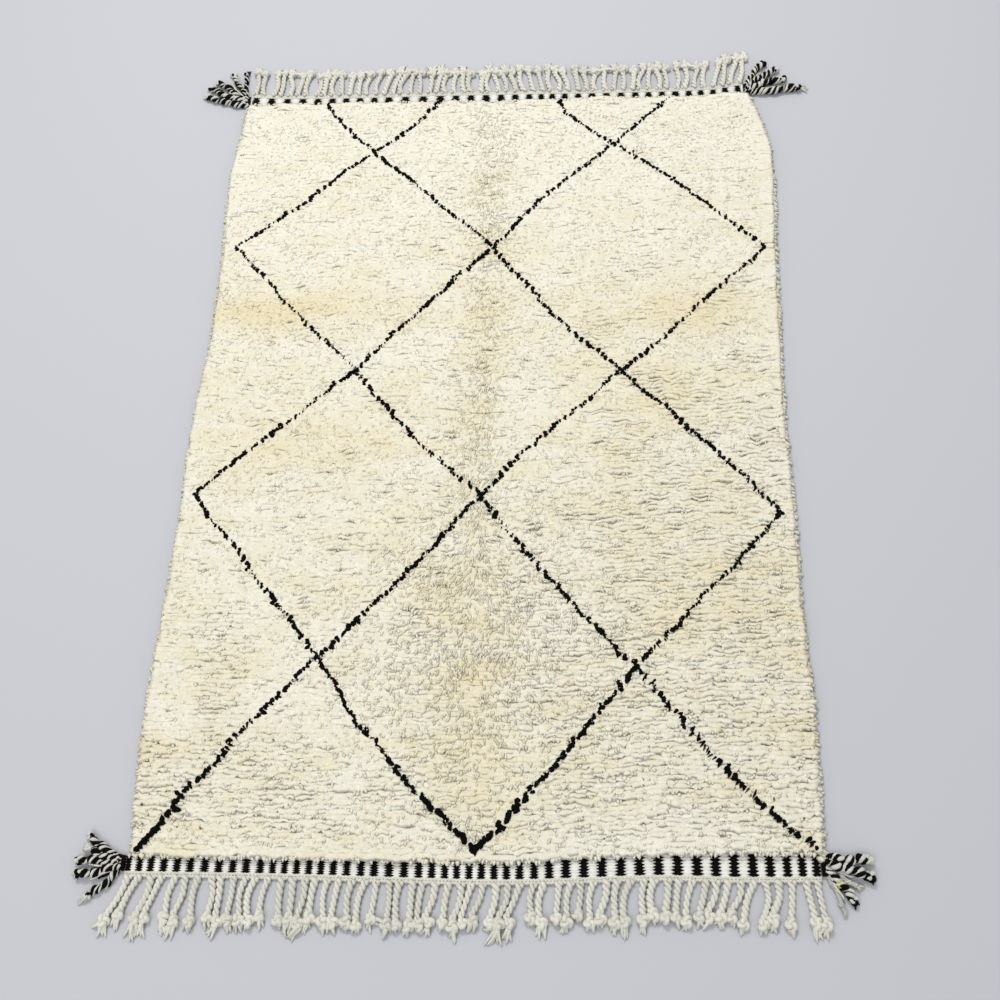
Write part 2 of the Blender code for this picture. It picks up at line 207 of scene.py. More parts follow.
LEGS = table("start stop bow",
    ("far_1", "upper_left", -0.009), ("far_2", "upper_left", 0.011),
    ("far_3", "upper_right", -0.018), ("far_4", "upper_right", 0.0),
    ("upper_left", "rim_left_1", 0.008), ("upper_left", "middle_1", 0.001),
    ("upper_right", "middle_1", -0.016), ("upper_right", "rim_right_1", 0.016),
    ("rim_left_1", "centre_left", -0.01), ("middle_1", "centre_left", -0.005),
    ("middle_1", "centre_right", -0.02), ("rim_right_1", "centre_right", 0.009),
    ("centre_left", "rim_left_2", -0.003), ("centre_left", "middle_2", -0.022),
    ("centre_right", "middle_2", -0.008), ("centre_right", "rim_right_2", 0.013),
    ("rim_left_2", "lower_left", -0.003), ("middle_2", "lower_left", 0.009),
    ("middle_2", "lower_right", -0.018), ("rim_right_2", "lower_right", 0.007),
    ("lower_left", "near_1", -0.011), ("lower_left", "near_2", -0.023),
    ("lower_right", "near_2", 0.009), ("lower_right", "near_3", -0.022),
)

# Patches where the undyed wool is warmer and darker, or where less than 0, paler.
PATCHES = table("x y across along warm",
    (-0.01, -0.7, 0.1, 0.28, 0.55), (-0.01, 0.2, 0.07, 0.5, 0.4), (-0.55, 0.33, 0.25, 0.06, 0.8),
    (0.45, 0.33, 0.3, 0.06, 0.6), (-0.45, -0.05, 0.25, 0.07, 0.5), (0.55, -0.42, 0.22, 0.16, 0.5),
    (0.45, 0.1, 0.22, 0.18, 0.35), (0.42, -0.98, 0.3, 0.06, -0.45),
)

# The bars of each band: the place of the bar with that number.
NEAR_BARS = table("number x",
    (0, -0.739), (2, -0.69), (5, -0.603), (10, -0.452), (15, -0.321), (20, -0.176), (22, -0.11),
    (27, 0.02), (31, 0.132), (34, 0.235), (38, 0.391), (41, 0.51), (45, 0.657), (47, 0.715),
)
FAR_BARS = table("number x",
    (0, -0.707), (4, -0.523), (9, -0.314), (12, -0.163), (18, 0.094), (21, 0.195), (26, 0.397),
    (30, 0.549), (34, 0.687),
)

# How the warp cords lie along each end: the sideways drift of their knots, and their length.
NEAR_LIE = table("x drift length",
    (-0.74, -0.038, 0.072), (-0.66, -0.022, 0.072), (-0.58, -0.01, 0.074), (-0.45, -0.009, 0.072),
    (-0.3, -0.013, 0.068), (-0.18, -0.004, 0.07), (-0.08, -0.016, 0.072), (0.08, -0.022, 0.066),
    (0.18, -0.004, 0.06), (0.33, -0.01, 0.061), (0.43, -0.016, 0.064), (0.52, -0.024, 0.062),
    (0.62, -0.018, 0.064), (0.715, 0.014, 0.07),
)
FAR_LIE = table("x drift length",
    (-0.712, 0.008, 0.068), (-0.56, 0.004, 0.064), (-0.42, 0.008, 0.062), (-0.28, 0.011, 0.066),
    (-0.15, -0.002, 0.064), (-0.06, 0.0, 0.062), (0.02, -0.011, 0.066), (0.14, -0.013, 0.07),
    (0.25, 0.0, 0.06), (0.36, 0.002, 0.062), (0.46, 0.004, 0.066), (0.6, 0.01, 0.07),
    (0.693, 0.018, 0.074),
)

# A warp cord from its root to its tip, as in the solids.
CORD_STATIONS = table("along past lean apart",
    (0.45, 0.0, 0.38, 0.014), (0.98, 0.0, 0.92, 0.017), (1.0, 0.01, 1.0, 0.0215),
    (1.0, 0.023, 1.05, 0.019), (1.0, 0.041, 1.15, 0.012),
)
KNOT_STATION = 2

# The two ends of the rug; rounded is how far a band's black bars narrow at both of their ends.
RIMS = table("word end direction lie bars bar_count rounded cords seed",
    ("near", NEAR_END, -1, NEAR_LIE, NEAR_BARS, 48, 0.0, 58, 9),
    ("far", FAR_END, 1, FAR_LIE, FAR_BARS, 35, 0.55, 56, 8),
)

# Where the ends beyond the knots are left longer.
BRUSHES = table("word x spread length",
    ("near", -0.7, 0.075, 0.022), ("near", -0.36, 0.02, 0.02), ("near", 0.06, 0.02, 0.014),
    ("near", 0.7, 0.02, 0.012), ("far", -0.18, 0.02, 0.026), ("far", 0.02, 0.016, 0.014),
    ("far", 0.66, 0.05, 0.018),
)

# The cords of each tassel, in order from the wool towards the fringe: where the knotted end
# lies, how far the cord bows aside on its way there, its width, the wools of its knot's halves
# ("" for no knot), the wool of its loose ends, how long they are, and its strands' wools in turn.
PLY_COLUMNS = "x y bow width knot loose ends strands"
TASSELS = table("name end side direction plies",
    ("tassel_near_left", NEAR_END, -1, -1, table(PLY_COLUMNS,
        (-0.832, -1.004, 0.006, 0.0115, "black ivory", "ivory", 0.004, "black ivory"),
        (-0.834, -1.034, 0.003, 0.0115, "ivory ivory", "ivory", 0.010, "black ivory"),
        (-0.852, -1.058, 0.000, 0.0120, "black ivory", "black", 0.006, "black ivory"),
        (-0.847, -1.088, 0.003, 0.0130, "ivory black", "ivory", 0.014, "black ivory"),
        (-0.819, -1.132, 0.006, 0.0115, "black ivory", "ivory", 0.020, "black ivory"),
    )),
    ("tassel_near_right", NEAR_END, 1, -1, table(PLY_COLUMNS,
        (0.826, -1.030, 0.002, 0.0140, "ivory ivory", "ivory", 0.008, "black ivory"),
        (0.829, -1.062, 0.002, 0.0150, "black ivory", "black", 0.006, "black ivory"),
        (0.801, -1.087, 0.000, 0.0080, "", "ivory", 0.004, "ivory grey"),
        (0.788, -1.113, -0.002, 0.0125, "black ivory", "black", 0.008, "black ivory"),
        (0.767, -1.136, -0.002, 0.0080, "", "grey", 0.004, "grey grey"),
    )),
    ("tassel_far_left", FAR_END, -1, 1, table(PLY_COLUMNS,
        (-0.856, 1.092, 0.007, 0.0130, "black ivory", "ivory", 0.012, "black ivory"),
        (-0.852, 1.120, 0.003, 0.0130, "ivory black", "ivory", 0.012, "black ivory"),
        (-0.831, 1.146, 0.000, 0.0120, "black ivory", "ivory", 0.006, "black ivory"),
        (-0.787, 1.170, -0.002, 0.0110, "black ivory", "ivory", 0.012, "black ivory"),
        (-0.749, 1.178, 0.000, 0.0090, "black ivory", "black", 0.006, "black ivory"),
    )),
    ("tassel_far_right", FAR_END, 1, 1, table(PLY_COLUMNS,
        (0.866, 1.064, 0.001, 0.0140, "ivory black", "ivory", 0.024, "black ivory"),
        (0.822, 1.100, -0.003, 0.0140, "black ivory", "ivory", 0.010, "black ivory"),
        (0.804, 1.132, -0.006, 0.0130, "ivory black", "ivory", 0.010, "black ivory"),
        (0.768, 1.160, -0.006, 0.0130, "black black", "ivory", 0.012, "black ivory"),
    )),
)

PLY_STRANDS = 5
PLY_PITCH = 0.0300
PLY_TURN = 0.39                 # of a cord's width, how far out its strands are wound
PLY_WIDTH = 0.0125              # of the cord that the tassels' knots are drawn for
PLY_KNOT = 0.0024               # the overhand knot's scale
PLY_KNOT_STRAND = 0.0043
PLY_END_RADIUS = (0.0024, 0.0036)
SHORT_STRAND_RADIUS = 0.0034
LIME_TASSEL = "tassel_near_right"
LIME_CORD = 3                   # the cord with the bright yarn tied round it
YARN_RADIUS = 0.0019            # of the yarn wound round cords, and how often it goes round
YARN_TURNS = 3.5

# Wools, as linear RGB.
WOOLS = {
    "cream": (0.799, 0.778, 0.675),
    "warm": (0.756, 0.690, 0.492),
    "white": (0.80, 0.795, 0.735),
    "ivory": (0.720, 0.708, 0.625),
    "grey": (0.50, 0.50, 0.47),
    "black": (0.0024, 0.0023, 0.0020),
    "lime": (0.56, 0.60, 0.08),
}

SPECK_SCALE = 260.0             # of the fine specks, to the metre
FIBRE_RELIEF = 0.0006

TASSEL_WOOLS = {**WOOLS, "ivory": (0.62, 0.61, 0.55)}
STITCH_WOOLS = {"black": WOOLS["black"], "ivory": WOOLS["white"]}

Z_AXIS = np.array([0.0, 0.0, 1.0])

# Room
FLOOR_SIZE = 14.0
FLOOR_COLOUR = (0.46, 0.47, 0.50, 1.0)
LIGHTS = table("name place size power colour",
    ("key", (-0.6, 2.8, 5.0), 1.6, 187.0, (1.0, 0.985, 0.96)),
    ("fill", (-1.5, -3.2, 4.5), 4.0, 89.0, (0.97, 0.98, 1.0)),
)
SKY_COLOUR = (0.975, 0.98, 0.985, 1.0)
SKY_STRENGTH = 0.65
CAMERA_PLACE = (0.2077, -1.2909, 2.4282)    # in the rug's own measure
CAMERA_YAW = 8.847              # degrees, from straight along the rug
CAMERA_PITCH = 65.753           # degrees below level
CAMERA_ROLL = -8.197
CAMERA_LENS = 39.6              # millimetres, on a 36 mm sensor


def blend(start, stop, share):
    """The value at a share of the way from start to stop."""
    return start + (stop - start) * share


def curve(start, stop, leave, arrive, t):
    """A smooth curve from start to stop, with the slopes it leaves and arrives by."""
    keep = (2 * t - 3) * t * t + 1
    return start * keep + stop * (1 - keep) + leave * t * (1 - t) ** 2 - arrive * t * t * (1 - t)


def follow(rows, value, at):
    """Read column value of a table, at places in its first column, off a smooth curve."""
    places = np.array([row[0] for row in rows])
    heights = np.array([getattr(row, value) for row in rows])
    here = np.clip(np.searchsorted(places, at, side="right") - 1, 0, len(rows) - 2)
    step = places[here + 1] - places[here]
    t = np.clip((at - places[here]) / step, 0.0, 1.0)
    before = np.maximum(here - 1, 0)
    after = np.minimum(here + 2, len(rows) - 1)
    leave = (heights[here + 1] - heights[before]) / (places[here + 1] - places[before]) * step
    arrive = (heights[after] - heights[here]) / (places[after] - places[here]) * step
    return curve(heights[here], heights[here + 1], leave, arrive, t)


def stations(start, stop, cells):
    return [blend(start, stop, i / cells) for i in range(cells + 1)]


def pile_edges(ys):
    """The left and right edges of the slab of pile, at places along the rug."""
    return follow(SIDES, "left", ys) + LOCK_REACH, follow(SIDES, "right", ys) - LOCK_REACH


@functools.cache
def end_stations(end):
    """The corners of the solids along one end of the rug."""
    level = SIDES[0].y if end is NEAR_END else SIDES[-1].y
    shoulder = SHOULDER_WIDTH / (SIDES[0].right - SIDES[0].left)
    shares = [0.0] + stations(shoulder, 1 - shoulder, PILE_COLUMNS) + [1.0]
    corners = blend(*pile_edges(level), np.array(shares))
    inner = corners[(corners > end[0].x) & (corners < end[-1].x)]
    return np.concatenate([[end[0].x], inner, [end[-1].x]])


def end_line(end, value, xs):
    """The wool's or the band's edge, at places across the rug."""
    corners = end_stations(end)
    return np.interp(xs, corners, follow(end, value, corners))


def find_shift():
    """From the rug's own measure to the frame, by the near band's lowest corner."""
    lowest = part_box("band_near")[0]
    near_line = end_line(NEAR_END, "band", end_stations(NEAR_END))
    return np.array([lowest[0] - NEAR_END[0].x, lowest[1] - near_line.min(), 0.0])


SHIFT = find_shift()


def wander(xs, ys, size, layer):
    """A smooth wave between about -1 and 1 over the rug, a fresh one for each layer."""
    places = zip(np.ravel(xs), np.ravel(ys))
    wave = [2 * noise.noise(Vector((x / size, y / size, layer * 7.31))) for x, y in places]
    return np.array(wave).reshape(np.shape(xs))


def pile_top(xs, ys):
    """The pile's height over the floor, with the lumps and the crease that the solids have."""
    places = zip(xs.ravel(), ys.ravel())
    lumps = [noise.noise(Vector((x, y, 0.0)) / LUMP_SIZE) for x, y in places]
    return PILE_HEIGHT + LUMP_HEIGHT * np.array(lumps).reshape(xs.shape) - CREASE_DEPTH * crease(xs)


def unit(vectors):
    return vectors / np.linalg.norm(vectors, axis=-1, keepdims=True)


def xyz(x, y, z):
    """Points from their three columns, each of which may be a single number."""
    return np.stack(np.broadcast_arrays(x, y, z), axis=-1)


def smoothstep(low, high, values):
    t = np.clip((values - low) / (high - low), 0.0, 1.0)
    return t * t * (3 - 2 * t)


# ---------------------------------------------------------------- meshes

class Heap:
    """The points and faces of one piece, with each point's tint and its place in the fibre."""

    def __init__(self):
        self.points, self.tints, self.fibres = [], [], []
        self.faces, self.smooth = [], []
        self.count = 0

    def add(self, points, faces, tints, fibres, flat=()):
        """points end in x, y, z; tints and fibres fit them. faces is a list of index arrays, whose
        last axis goes round a face. flat numbers those of them that are shaded unsmoothed."""
        for column, values in ((self.points, points), (self.tints, tints), (self.fibres, fibres)):
            column.append(np.broadcast_to(values, points.shape).reshape(-1, 3))
        for number, face in enumerate(faces):
            face = face.reshape(-1, face.shape[-1])
            self.faces.append(face + self.count)
            self.smooth.append(np.full(len(face), number not in flat))
        self.count += points.size // 3

    def make(self, name, material, replaced):
        points = np.concatenate(self.points) + SHIFT
        points[:, 2] = np.maximum(points[:, 2], 0.0)
        loops = np.concatenate([face.ravel() for face in self.faces])
        widths = np.concatenate([np.full(len(face), face.shape[1]) for face in self.faces])
        mesh = bpy.data.meshes.new(name)
        mesh.vertices.add(len(points))
        mesh.vertices.foreach_set("co", points.astype(np.float32).ravel())
        mesh.loops.add(len(loops))
        mesh.loops.foreach_set("vertex_index", loops.astype(np.int32))
        mesh.polygons.add(len(widths))
        mesh.polygons.foreach_set("loop_start", (np.cumsum(widths) - widths).astype(np.int32))
        mesh.polygons.foreach_set("use_smooth", np.concatenate(self.smooth))
        tints = np.concatenate(self.tints)
        tints = np.concatenate([tints, np.ones((len(tints), 1))], axis=1)
        for layer_name, kind, field, values in (
            ("tint", "FLOAT_COLOR", "color", tints),
            ("fibre", "FLOAT_VECTOR", "vector", np.concatenate(self.fibres)),
        ):
            layer = mesh.attributes.new(layer_name, kind, "POINT")
            layer.data.foreach_set(field, values.astype(np.float32).ravel())
        mesh.update(calc_edges=True)
        mesh.validate()
        mesh.materials.append(material)
        piece = bpy.data.objects.new(name, mesh)
        bpy.context.scene.collection.objects.link(piece)
        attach(piece, "root")
        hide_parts(*replaced)
        return piece


def ring_faces(count, places, sides):
    """Faces of tubes whose points go ring by ring: their walls, and their first and last caps."""
    base = (np.arange(count) * places * sides)[:, None, None]
    side = np.arange(sides)
    following = (side + 1) % sides
    ring = base + (np.arange(places - 1) * sides)[:, None]
    walls = [ring + side, ring + sides + side, ring + sides + following, ring + following]
    first = base[:, 0] + side
    return [np.stack(walls, axis=-1), first, first[:, ::-1] + (places - 1) * sides]


def grid_faces(grid):
    """Faces between the rows and columns of a grid of point numbers."""
    return np.stack([grid[:-1, :-1], grid[1:, :-1], grid[1:, 1:], grid[:-1, 1:]], axis=-1)


def frames(paths):
    """Two crossways directions at every point of each path, turned as little as can be."""
    tangents = unit(np.gradient(paths, axis=1))
    across = np.empty_like(paths)
    first = np.cross(tangents[:, 0], Z_AXIS)
    first[np.linalg.norm(first, axis=1) < 0.05] = (1.0, 0.0, 0.0)
    across[:, 0] = unit(first)
    for i in range(1, paths.shape[1]):
        before = across[:, i - 1]
        along = tangents[:, i]
        across[:, i] = unit(before - along * np.sum(before * along, axis=1, keepdims=True))
    return across, np.cross(across, tangents)


def lengths_along(paths):
    steps = np.linalg.norm(np.diff(paths, axis=1), axis=2)
    return np.concatenate([np.zeros((len(paths), 1)), np.cumsum(steps, axis=1)], axis=1)


def add_tubes(heap, paths, radii, tints, sides=6, flatten=1.0, offset=0.0):
    """Closed tubes along paths (tubes, places, 3). tints is one colour for each tube."""
    count, places = paths.shape[:2]
    radii = np.broadcast_to(radii, (count, places))[:, :, None, None]
    across, up = frames(paths)
    turn = np.linspace(0, 2 * math.pi, sides, endpoint=False)
    cos, sin = np.cos(turn)[:, None], np.sin(turn)[:, None]
    rings = paths[:, :, None] + radii * (across[:, :, None] * cos + up[:, :, None] * sin * flatten)
    seeds = (np.arange(count) * 3.7 + offset)[:, None, None]
    walked = lengths_along(paths)[:, :, None] / FIBRE_LENGTH
    fibres = xyz(np.cos(turn) + seeds, np.sin(turn), walked)
    colours = np.asarray(tints, dtype=float).reshape(-1, 1, 1, 3)
    heap.add(rings, ring_faces(count, places, sides), colours, fibres)


def smooth_paths(points, places):
    """Curves through each row of points (rows, stations, 3), read at that many places."""
    count = points.shape[1]
    before = np.concatenate([2 * points[:, :1] - points[:, 1:2], points[:, :-1]], axis=1)
    after = np.concatenate([points[:, 1:], 2 * points[:, -1:] - points[:, -2:-1]], axis=1)
    slopes = (after - before) / 2
    at = np.linspace(0, count - 1, places)
    here = np.minimum(at.astype(int), count - 2)
    t = (at - here)[None, :, None]
    return curve(points[:, here], points[:, here + 1], slopes[:, here], slopes[:, here + 1], t)


def wind(paths, offset, pitch, phase, turns_from, flatten=1.0):
    """A strand wound round each path at a distance; turns_from is the share of a full turn."""
    across, up = frames(paths)
    angle = (2 * math.pi * (lengths_along(paths) / pitch + turns_from) + phase)[..., None]
    return paths + offset * (across * np.cos(angle) + up * np.sin(angle) * flatten)


# ---------------------------------------------------------------- materials

def wool_material(name, streaks, relief, mottle, sheen):
    """Matt wool, tinted point by point, with fine fibres running along each strand."""
    material = bpy.data.materials.new(name)
    material.use_nodes = True
    nodes = material.node_tree.nodes
    link = material.node_tree.links.new
    shader = nodes["Principled BSDF"]
    shader.inputs["Roughness"].default_value = 0.92
    shader.inputs["Specular IOR Level"].default_value = 0.08
    shader.inputs["Sheen Weight"].default_value = sheen
    shader.inputs["Sheen Roughness"].default_value = 0.45

    # The point tint is the wool's colour; on the rows, the locks, the lattice and the ground cloth
    # it also holds painted shade.
    tint = nodes.new("ShaderNodeAttribute")
    tint.attribute_name = "tint"
    fibre = nodes.new("ShaderNodeAttribute")
    fibre.attribute_name = "fibre"
    place = nodes.new("ShaderNodeTexCoord")
    both = nodes.new("ShaderNodeMath")
    both.operation = "MULTIPLY"
    grains = (
        (place.outputs["Object"], SPECK_SCALE, 2.0),
        (fibre.outputs["Vector"], streaks, 3.0),
    )
    for number, (source, scale, detail) in enumerate(grains):
        grain = nodes.new("ShaderNodeTexNoise")
        grain.inputs["Scale"].default_value = scale
        grain.inputs["Detail"].default_value = detail
        link(source, grain.inputs["Vector"])
        shade = nodes.new("ShaderNodeMapRange")
        shade.inputs["From Min"].default_value = 0.3
        shade.inputs["From Max"].default_value = 0.7
        shade.inputs["To Min"].default_value = 1.0 - mottle
        link(grain.outputs["Fac"], shade.inputs["Value"])
        link(shade.outputs["Result"], both.inputs[number])

    colour = nodes.new("ShaderNodeVectorMath")
    colour.operation = "SCALE"
    link(tint.outputs["Color"], colour.inputs[0])
    link(both.outputs["Value"], colour.inputs["Scale"])
    link(colour.outputs["Vector"], shader.inputs["Base Color"])

    # The grain made last, along the fibre, also lifts the wool's surface.
    bump = nodes.new("ShaderNodeBump")
    bump.inputs["Strength"].default_value = relief
    bump.inputs["Distance"].default_value = FIBRE_RELIEF
    link(grain.outputs["Fac"], bump.inputs["Height"])
    link(bump.outputs["Normal"], shader.inputs["Normal"])
    return material


# ---------------------------------------------------------------- pile

def row_lines(draw):
    """The knots of every row: x and y as arrays of rows by columns, and their rows' numbers."""
    rows = round((FAR_END[0].pile - NEAR_END[0].pile) / ROW_PITCH)
    columns = round((SIDES[0].right - SIDES[0].left - 2 * LOCK_REACH) / COLUMN_PITCH)
    u = np.linspace(0, 1, columns)[None] + np.zeros((rows, 1))
    u[:, 1:-1] += draw.uniform(-0.22, 0.22, (rows, columns - 2)) / columns
    left, right = pile_edges(stations(SIDES[0].y, SIDES[-1].y, rows - 1))
    x = blend(left[:, None], right[:, None], u)
    near = end_line(NEAR_END, "pile", x) + ROW_REACH - 0.002
    far = end_line(FAR_END, "pile", x) - 0.003
    number = np.repeat(np.arange(rows)[:, None], columns, axis=1)
    y = blend(near, far, np.linspace(0, 1, rows)[:, None])
    bend = 0.0052 * wander(x, y * 1.3, 0.034, 3) * (1 - 0.55 * knotty(y))
    return x, y + bend + 0.0020 * wander(x, number * 0.7, 0.018, 4), number


def knotty(ys):
    """How much the separate knots show: 1 towards the near end, and 0 far from it."""
    return smoothstep(-0.10, -0.75, ys)


def crease(xs):
    """1 in the middle of the crease, falling off to both sides."""
    return 1 / (1 + ((xs - CREASE_X) / CREASE_WIDTH) ** 2)


def fanned(xs, ys):
    """How far the wool fans out of the crease instead of lying in rows: most in the near half."""
    wide = FAN_SHARE * np.exp(-((xs - FAN_X) / FAN_ACROSS) ** 2 - ((ys - FAN_Y) / FAN_ALONG) ** 2)
    return np.maximum(crease(xs) * (0.40 + 0.35 * smoothstep(0.2, -0.4, ys)), wide)


def calm(xs, ys):
    """1 along the crease and beside the near band, where the rows run together."""
    return np.maximum.reduce([crease(xs), fanned(xs, ys), smoothstep(-0.96, -1.03, ys)])


def combing(xs, ys):
    """How the wool is combed: its turn from straight towards the near end, and its parting."""
    turn = 0.34 * wander(xs, ys, 0.09, 7) + 0.14 * wander(xs, ys, 0.035, 8)
    turn = turn + 0.50 * np.tanh((xs - CREASE_X) / 0.12) * fanned(xs, ys)
    aside = 0.006 * np.tanh((xs - CREASE_X) / CREASE_WIDTH * 1.5) * crease(xs)
    return turn, aside


def wool_tints(xs, ys, spread, draw):
    """The undyed wool's colour, warmer in some patches than in others."""
    warm = WARMTH - 0.24 * smoothstep(0.45, 1.0, ys)
    warm = warm + 0.22 * wander(xs, ys * 2.6, 0.16, 1) + 0.14 * wander(xs, ys * 1.8, 0.04, 2)
    for patch in PATCHES:
        far = ((xs - patch.x) / patch.across) ** 2 + ((ys - patch.y) / patch.along) ** 2
        warm = warm + patch.warm * np.exp(-far)
    warm = np.clip(warm + draw.normal(0, spread, xs.shape), 0.0, 1.2)[..., None]
    shade = (1 + draw.normal(0, 0.25 * spread, xs.shape))[..., None]
    tint = blend(np.array(WOOLS["cream"]), np.array(WOOLS["warm"]), warm)
    return np.clip(tint * shade, 0.0, 0.93)


def comb_rows(draw):
    """Every row of knots as a ridge of combed wool: its points (row, column, station, 3)."""
    x, y, number = row_lines(draw)
    turn, aside = combing(x, y)
    still = calm(x, y)
    parted = wander(x, number * 2.7, 0.050, 5) - PARTING - 1.05 * (y.clip(-0.55) + 0.55)
    parted = parted - 0.50 * smoothstep(-0.05, -0.30, x) * smoothstep(-0.92, -0.75, y)
    parted = smoothstep(0.05, 0.45, parted) * (1 - still) * (1 - smoothstep(0.1, 0.7, y))
    merged = 0.6 * wander(x, y * 1.4, 0.16, 9) + 1.2 * y + 0.95 - 1.0 * smoothstep(0.05, 0.35, x)
    merged = smoothstep(-0.30, 0.30, merged) * (1 - parted)
    lump = (2.4 * np.abs(wander(x, number * 0.8, 0.024, 12)) - 0.8) * (1 - 0.8 * merged)
    merged = np.maximum(merged, still)
    groove = (np.arange(x.shape[1]) % 2)[None] * draw.uniform(0.2, 1.0, x.shape)
    groove = groove * (1 - 0.85 * merged)
    turn = turn + 0.50 * knotty(y) * (1 - merged) * wander(x, number * 3.1, 0.013, 13)
    reach = ROW_REACH * (1 + 0.08 * wander(x, y, 0.05, 6) - 0.14 * parted) * (1 - 0.15 * still)
    reach = reach - (0.0036 + 0.0020 * knotty(y)) * groove + 0.0022 * lump * knotty(y)
    reach = reach + draw.normal(0, 0.0007, x.shape)
    points, painted_shades = [], []
    for station in ROW_STATIONS:
        along = reach * station.along
        px = x + along * np.sin(turn) + aside * station.along
        py = y - along * np.cos(turn)
        sink = station.sink + station.groove * groove * (1 + 1.5 * knotty(y))
        sink = sink + draw.normal(0, 0.0003, x.shape)
        sink = sink + station.parted * parted + station.merged * merged
        sink = sink + 0.0016 * station.along ** 3 * knotty(y) * (1 - merged)
        sink = sink - (0.0008 + 0.0006 * knotty(y)) * lump * station.along
        pz = pile_top(px, py) - TOP_SINK - sink
        points.append(xyz(px, py, pz))
        # Painted shade from each station, faded where the rows run together, and made warmer than
        # grey.
        painted_shades.append(blend(station.shade, 1.0, 0.7 * merged))
    painted_shades = np.stack(painted_shades, axis=2)[..., None] ** PAINTED_SHADE_WARMTH
    tints = wool_tints(x, y, 0.10, draw)[:, :, None] * painted_shades
    return np.stack(points, axis=2), tints, number


def add_rows(heap, points, tints, numbers):
    """Closed ridges, each one row of knots wide and as long as the rug is broad."""
    walls, first, last = ring_faces(*points.shape[:3])
    walls = walls[..., [0, 3, 2, 1]]
    faces = [walls[:, :, :-1], walls[:, :, -1], last[:, ::-1], first[:, ::-1]]
    along = np.array([station.along for station in ROW_STATIONS]) * 1.3
    fibres = xyz(points[..., 0] / 0.0070, numbers[..., None] * 3.1, along)
    heap.add(points, faces, tints, fibres, flat=(1, 2, 3))


Locks = namedtuple("Locks", "x y lean_x lean_y top width tints depth droop")


def pick(locks, low, high):
    """The locks that are rooted between two places along the rug."""
    chosen = (locks.y >= low) & (locks.y < high)
    return Locks(*(column[chosen] for column in locks))


def joined(*parts):
    """Sets of locks as one. A single number in a set holds for all its locks."""
    full = [[np.zeros(len(part.x)) + c if np.ndim(c) == 0 else c for c in part] for part in parts]
    return Locks(*(np.concatenate(columns) for columns in zip(*full)))


def add_locks(heap, locks, sides, rings):
    """Tapered locks of 3 or 4 sides, bent over from a root to a tip."""
    count = len(locks.x)
    lean = xyz(locks.lean_x, locks.lean_y, 0.0)
    middle = xyz(locks.x, locks.y, locks.top)
    root = middle - Z_AXIS * locks.depth[:, None]
    tip = middle + lean - Z_AXIS * locks.droop[:, None]
    root[:, 2] = np.maximum(root[:, 2], 0.0012)
    tip[:, 2] = np.maximum(tip[:, 2], 0.0022)
    bend = middle + lean * 0.20 + Z_AXIS * LOCK_ARCH
    sideways = unit(np.cross(lean, Z_AXIS))
    turn = np.arange(sides) * 2 * math.pi / sides + (math.pi / 2 if sides == 3 else 0.0)
    points = []
    for ring in rings:
        t = ring.along
        centre = root * (1 - t) ** 2 + bend * 2 * t * (1 - t) + tip * t * t
        outward = np.cross(sideways, unit((bend - root) * (1 - t) + (tip - bend) * t))
        half = (locks.width * ring.width / 2)[:, None]
        for angle in turn:
            flat = outward * (LOCK_FLATNESS * math.sin(angle))
            points.append(centre + half * (sideways * math.cos(angle) + flat))
    points = np.stack(points + [tip], axis=1)
    points[:, :, 2] = np.maximum(points[:, :, 2], 0.0)

    corners = points.shape[1]
    base = (np.arange(count) * corners)[:, None, None]
    walls, first, last = ring_faces(1, len(rings), sides)
    last = last[0, ::-1]
    peak = xyz(last, corners - 1, np.roll(last, -1))
    faces = [base + part for part in (first, walls.reshape(-1, 4), peak)]

    # Painted shade: each ring's shade darkens the lock towards its root, warmer than grey.
    painted_shades = np.repeat([ring.shade for ring in rings] + [1.0], [sides] * len(rings) + [1])
    along = np.repeat([ring.along for ring in rings] + [1.0], [sides] * len(rings) + [1])
    angle = np.concatenate([np.tile(turn, len(rings)), [0.0]])
    seeds = (np.arange(count) * 2.3)[:, None]
    fibres = xyz(np.cos(angle) + seeds, np.sin(angle), along * 1.6)
    colours = locks.tints[:, None] * (painted_shades[:, None] ** PAINTED_SHADE_WARMTH)[None]
    heap.add(points, faces, colours, fibres)


def loose_locks(draw):
    """Locks that lie over the rows, more of them where the wool is ruffled."""
    x = draw.uniform(SIDES[2].left + 0.022, SIDES[2].right - 0.022, LOOSE_LOCKS * 2)
    y = draw.uniform(NEAR_END[-1].pile - 0.002, FAR_END[-1].pile - 0.008, LOOSE_LOCKS * 2)
    ruffled = 0.55 + 0.45 * smoothstep(-0.25, 0.55, wander(x, y * 1.4, 0.16, 9)) + 1.0 * calm(x, y)
    ruffled = ruffled * (1 - 0.60 * knotty(y))
    kept = np.argsort(draw.random(len(x)) / ruffled)[:LOOSE_LOCKS]
    x, y = x[kept], y[kept]
    turn, aside = combing(x, y)
    turn = turn + draw.normal(0, 0.70, len(x)) * (1 - 0.6 * calm(x, y))
    feather = fanned(x, y)
    reach = draw.uniform(*LOOSE_REACH, len(x)) * (1 - 0.25 * knotty(y)) * (1 + 0.90 * feather)
    lean_x = reach * np.sin(turn) + aside * 0.6
    lean_y = -reach * np.cos(turn)
    top = pile_top(x + lean_x / 2, y + lean_y / 2) - TOP_SINK
    top = top + draw.uniform(-0.0010, 0.0004, len(x)) + 0.0012 * feather
    width = draw.uniform(*LOOSE_WIDTH, len(x)) * (1 + 0.70 * knotty(y)) * (1 - 0.20 * feather)
    shade = 1 - 0.20 * feather * draw.random(len(x)) ** 2
    tints = wool_tints(x, y, 0.22, draw) * shade[:, None]
    return joined(Locks(x, y, lean_x, lean_y, top, width, tints, LOOSE_DEPTH, LOOSE_DROOP))


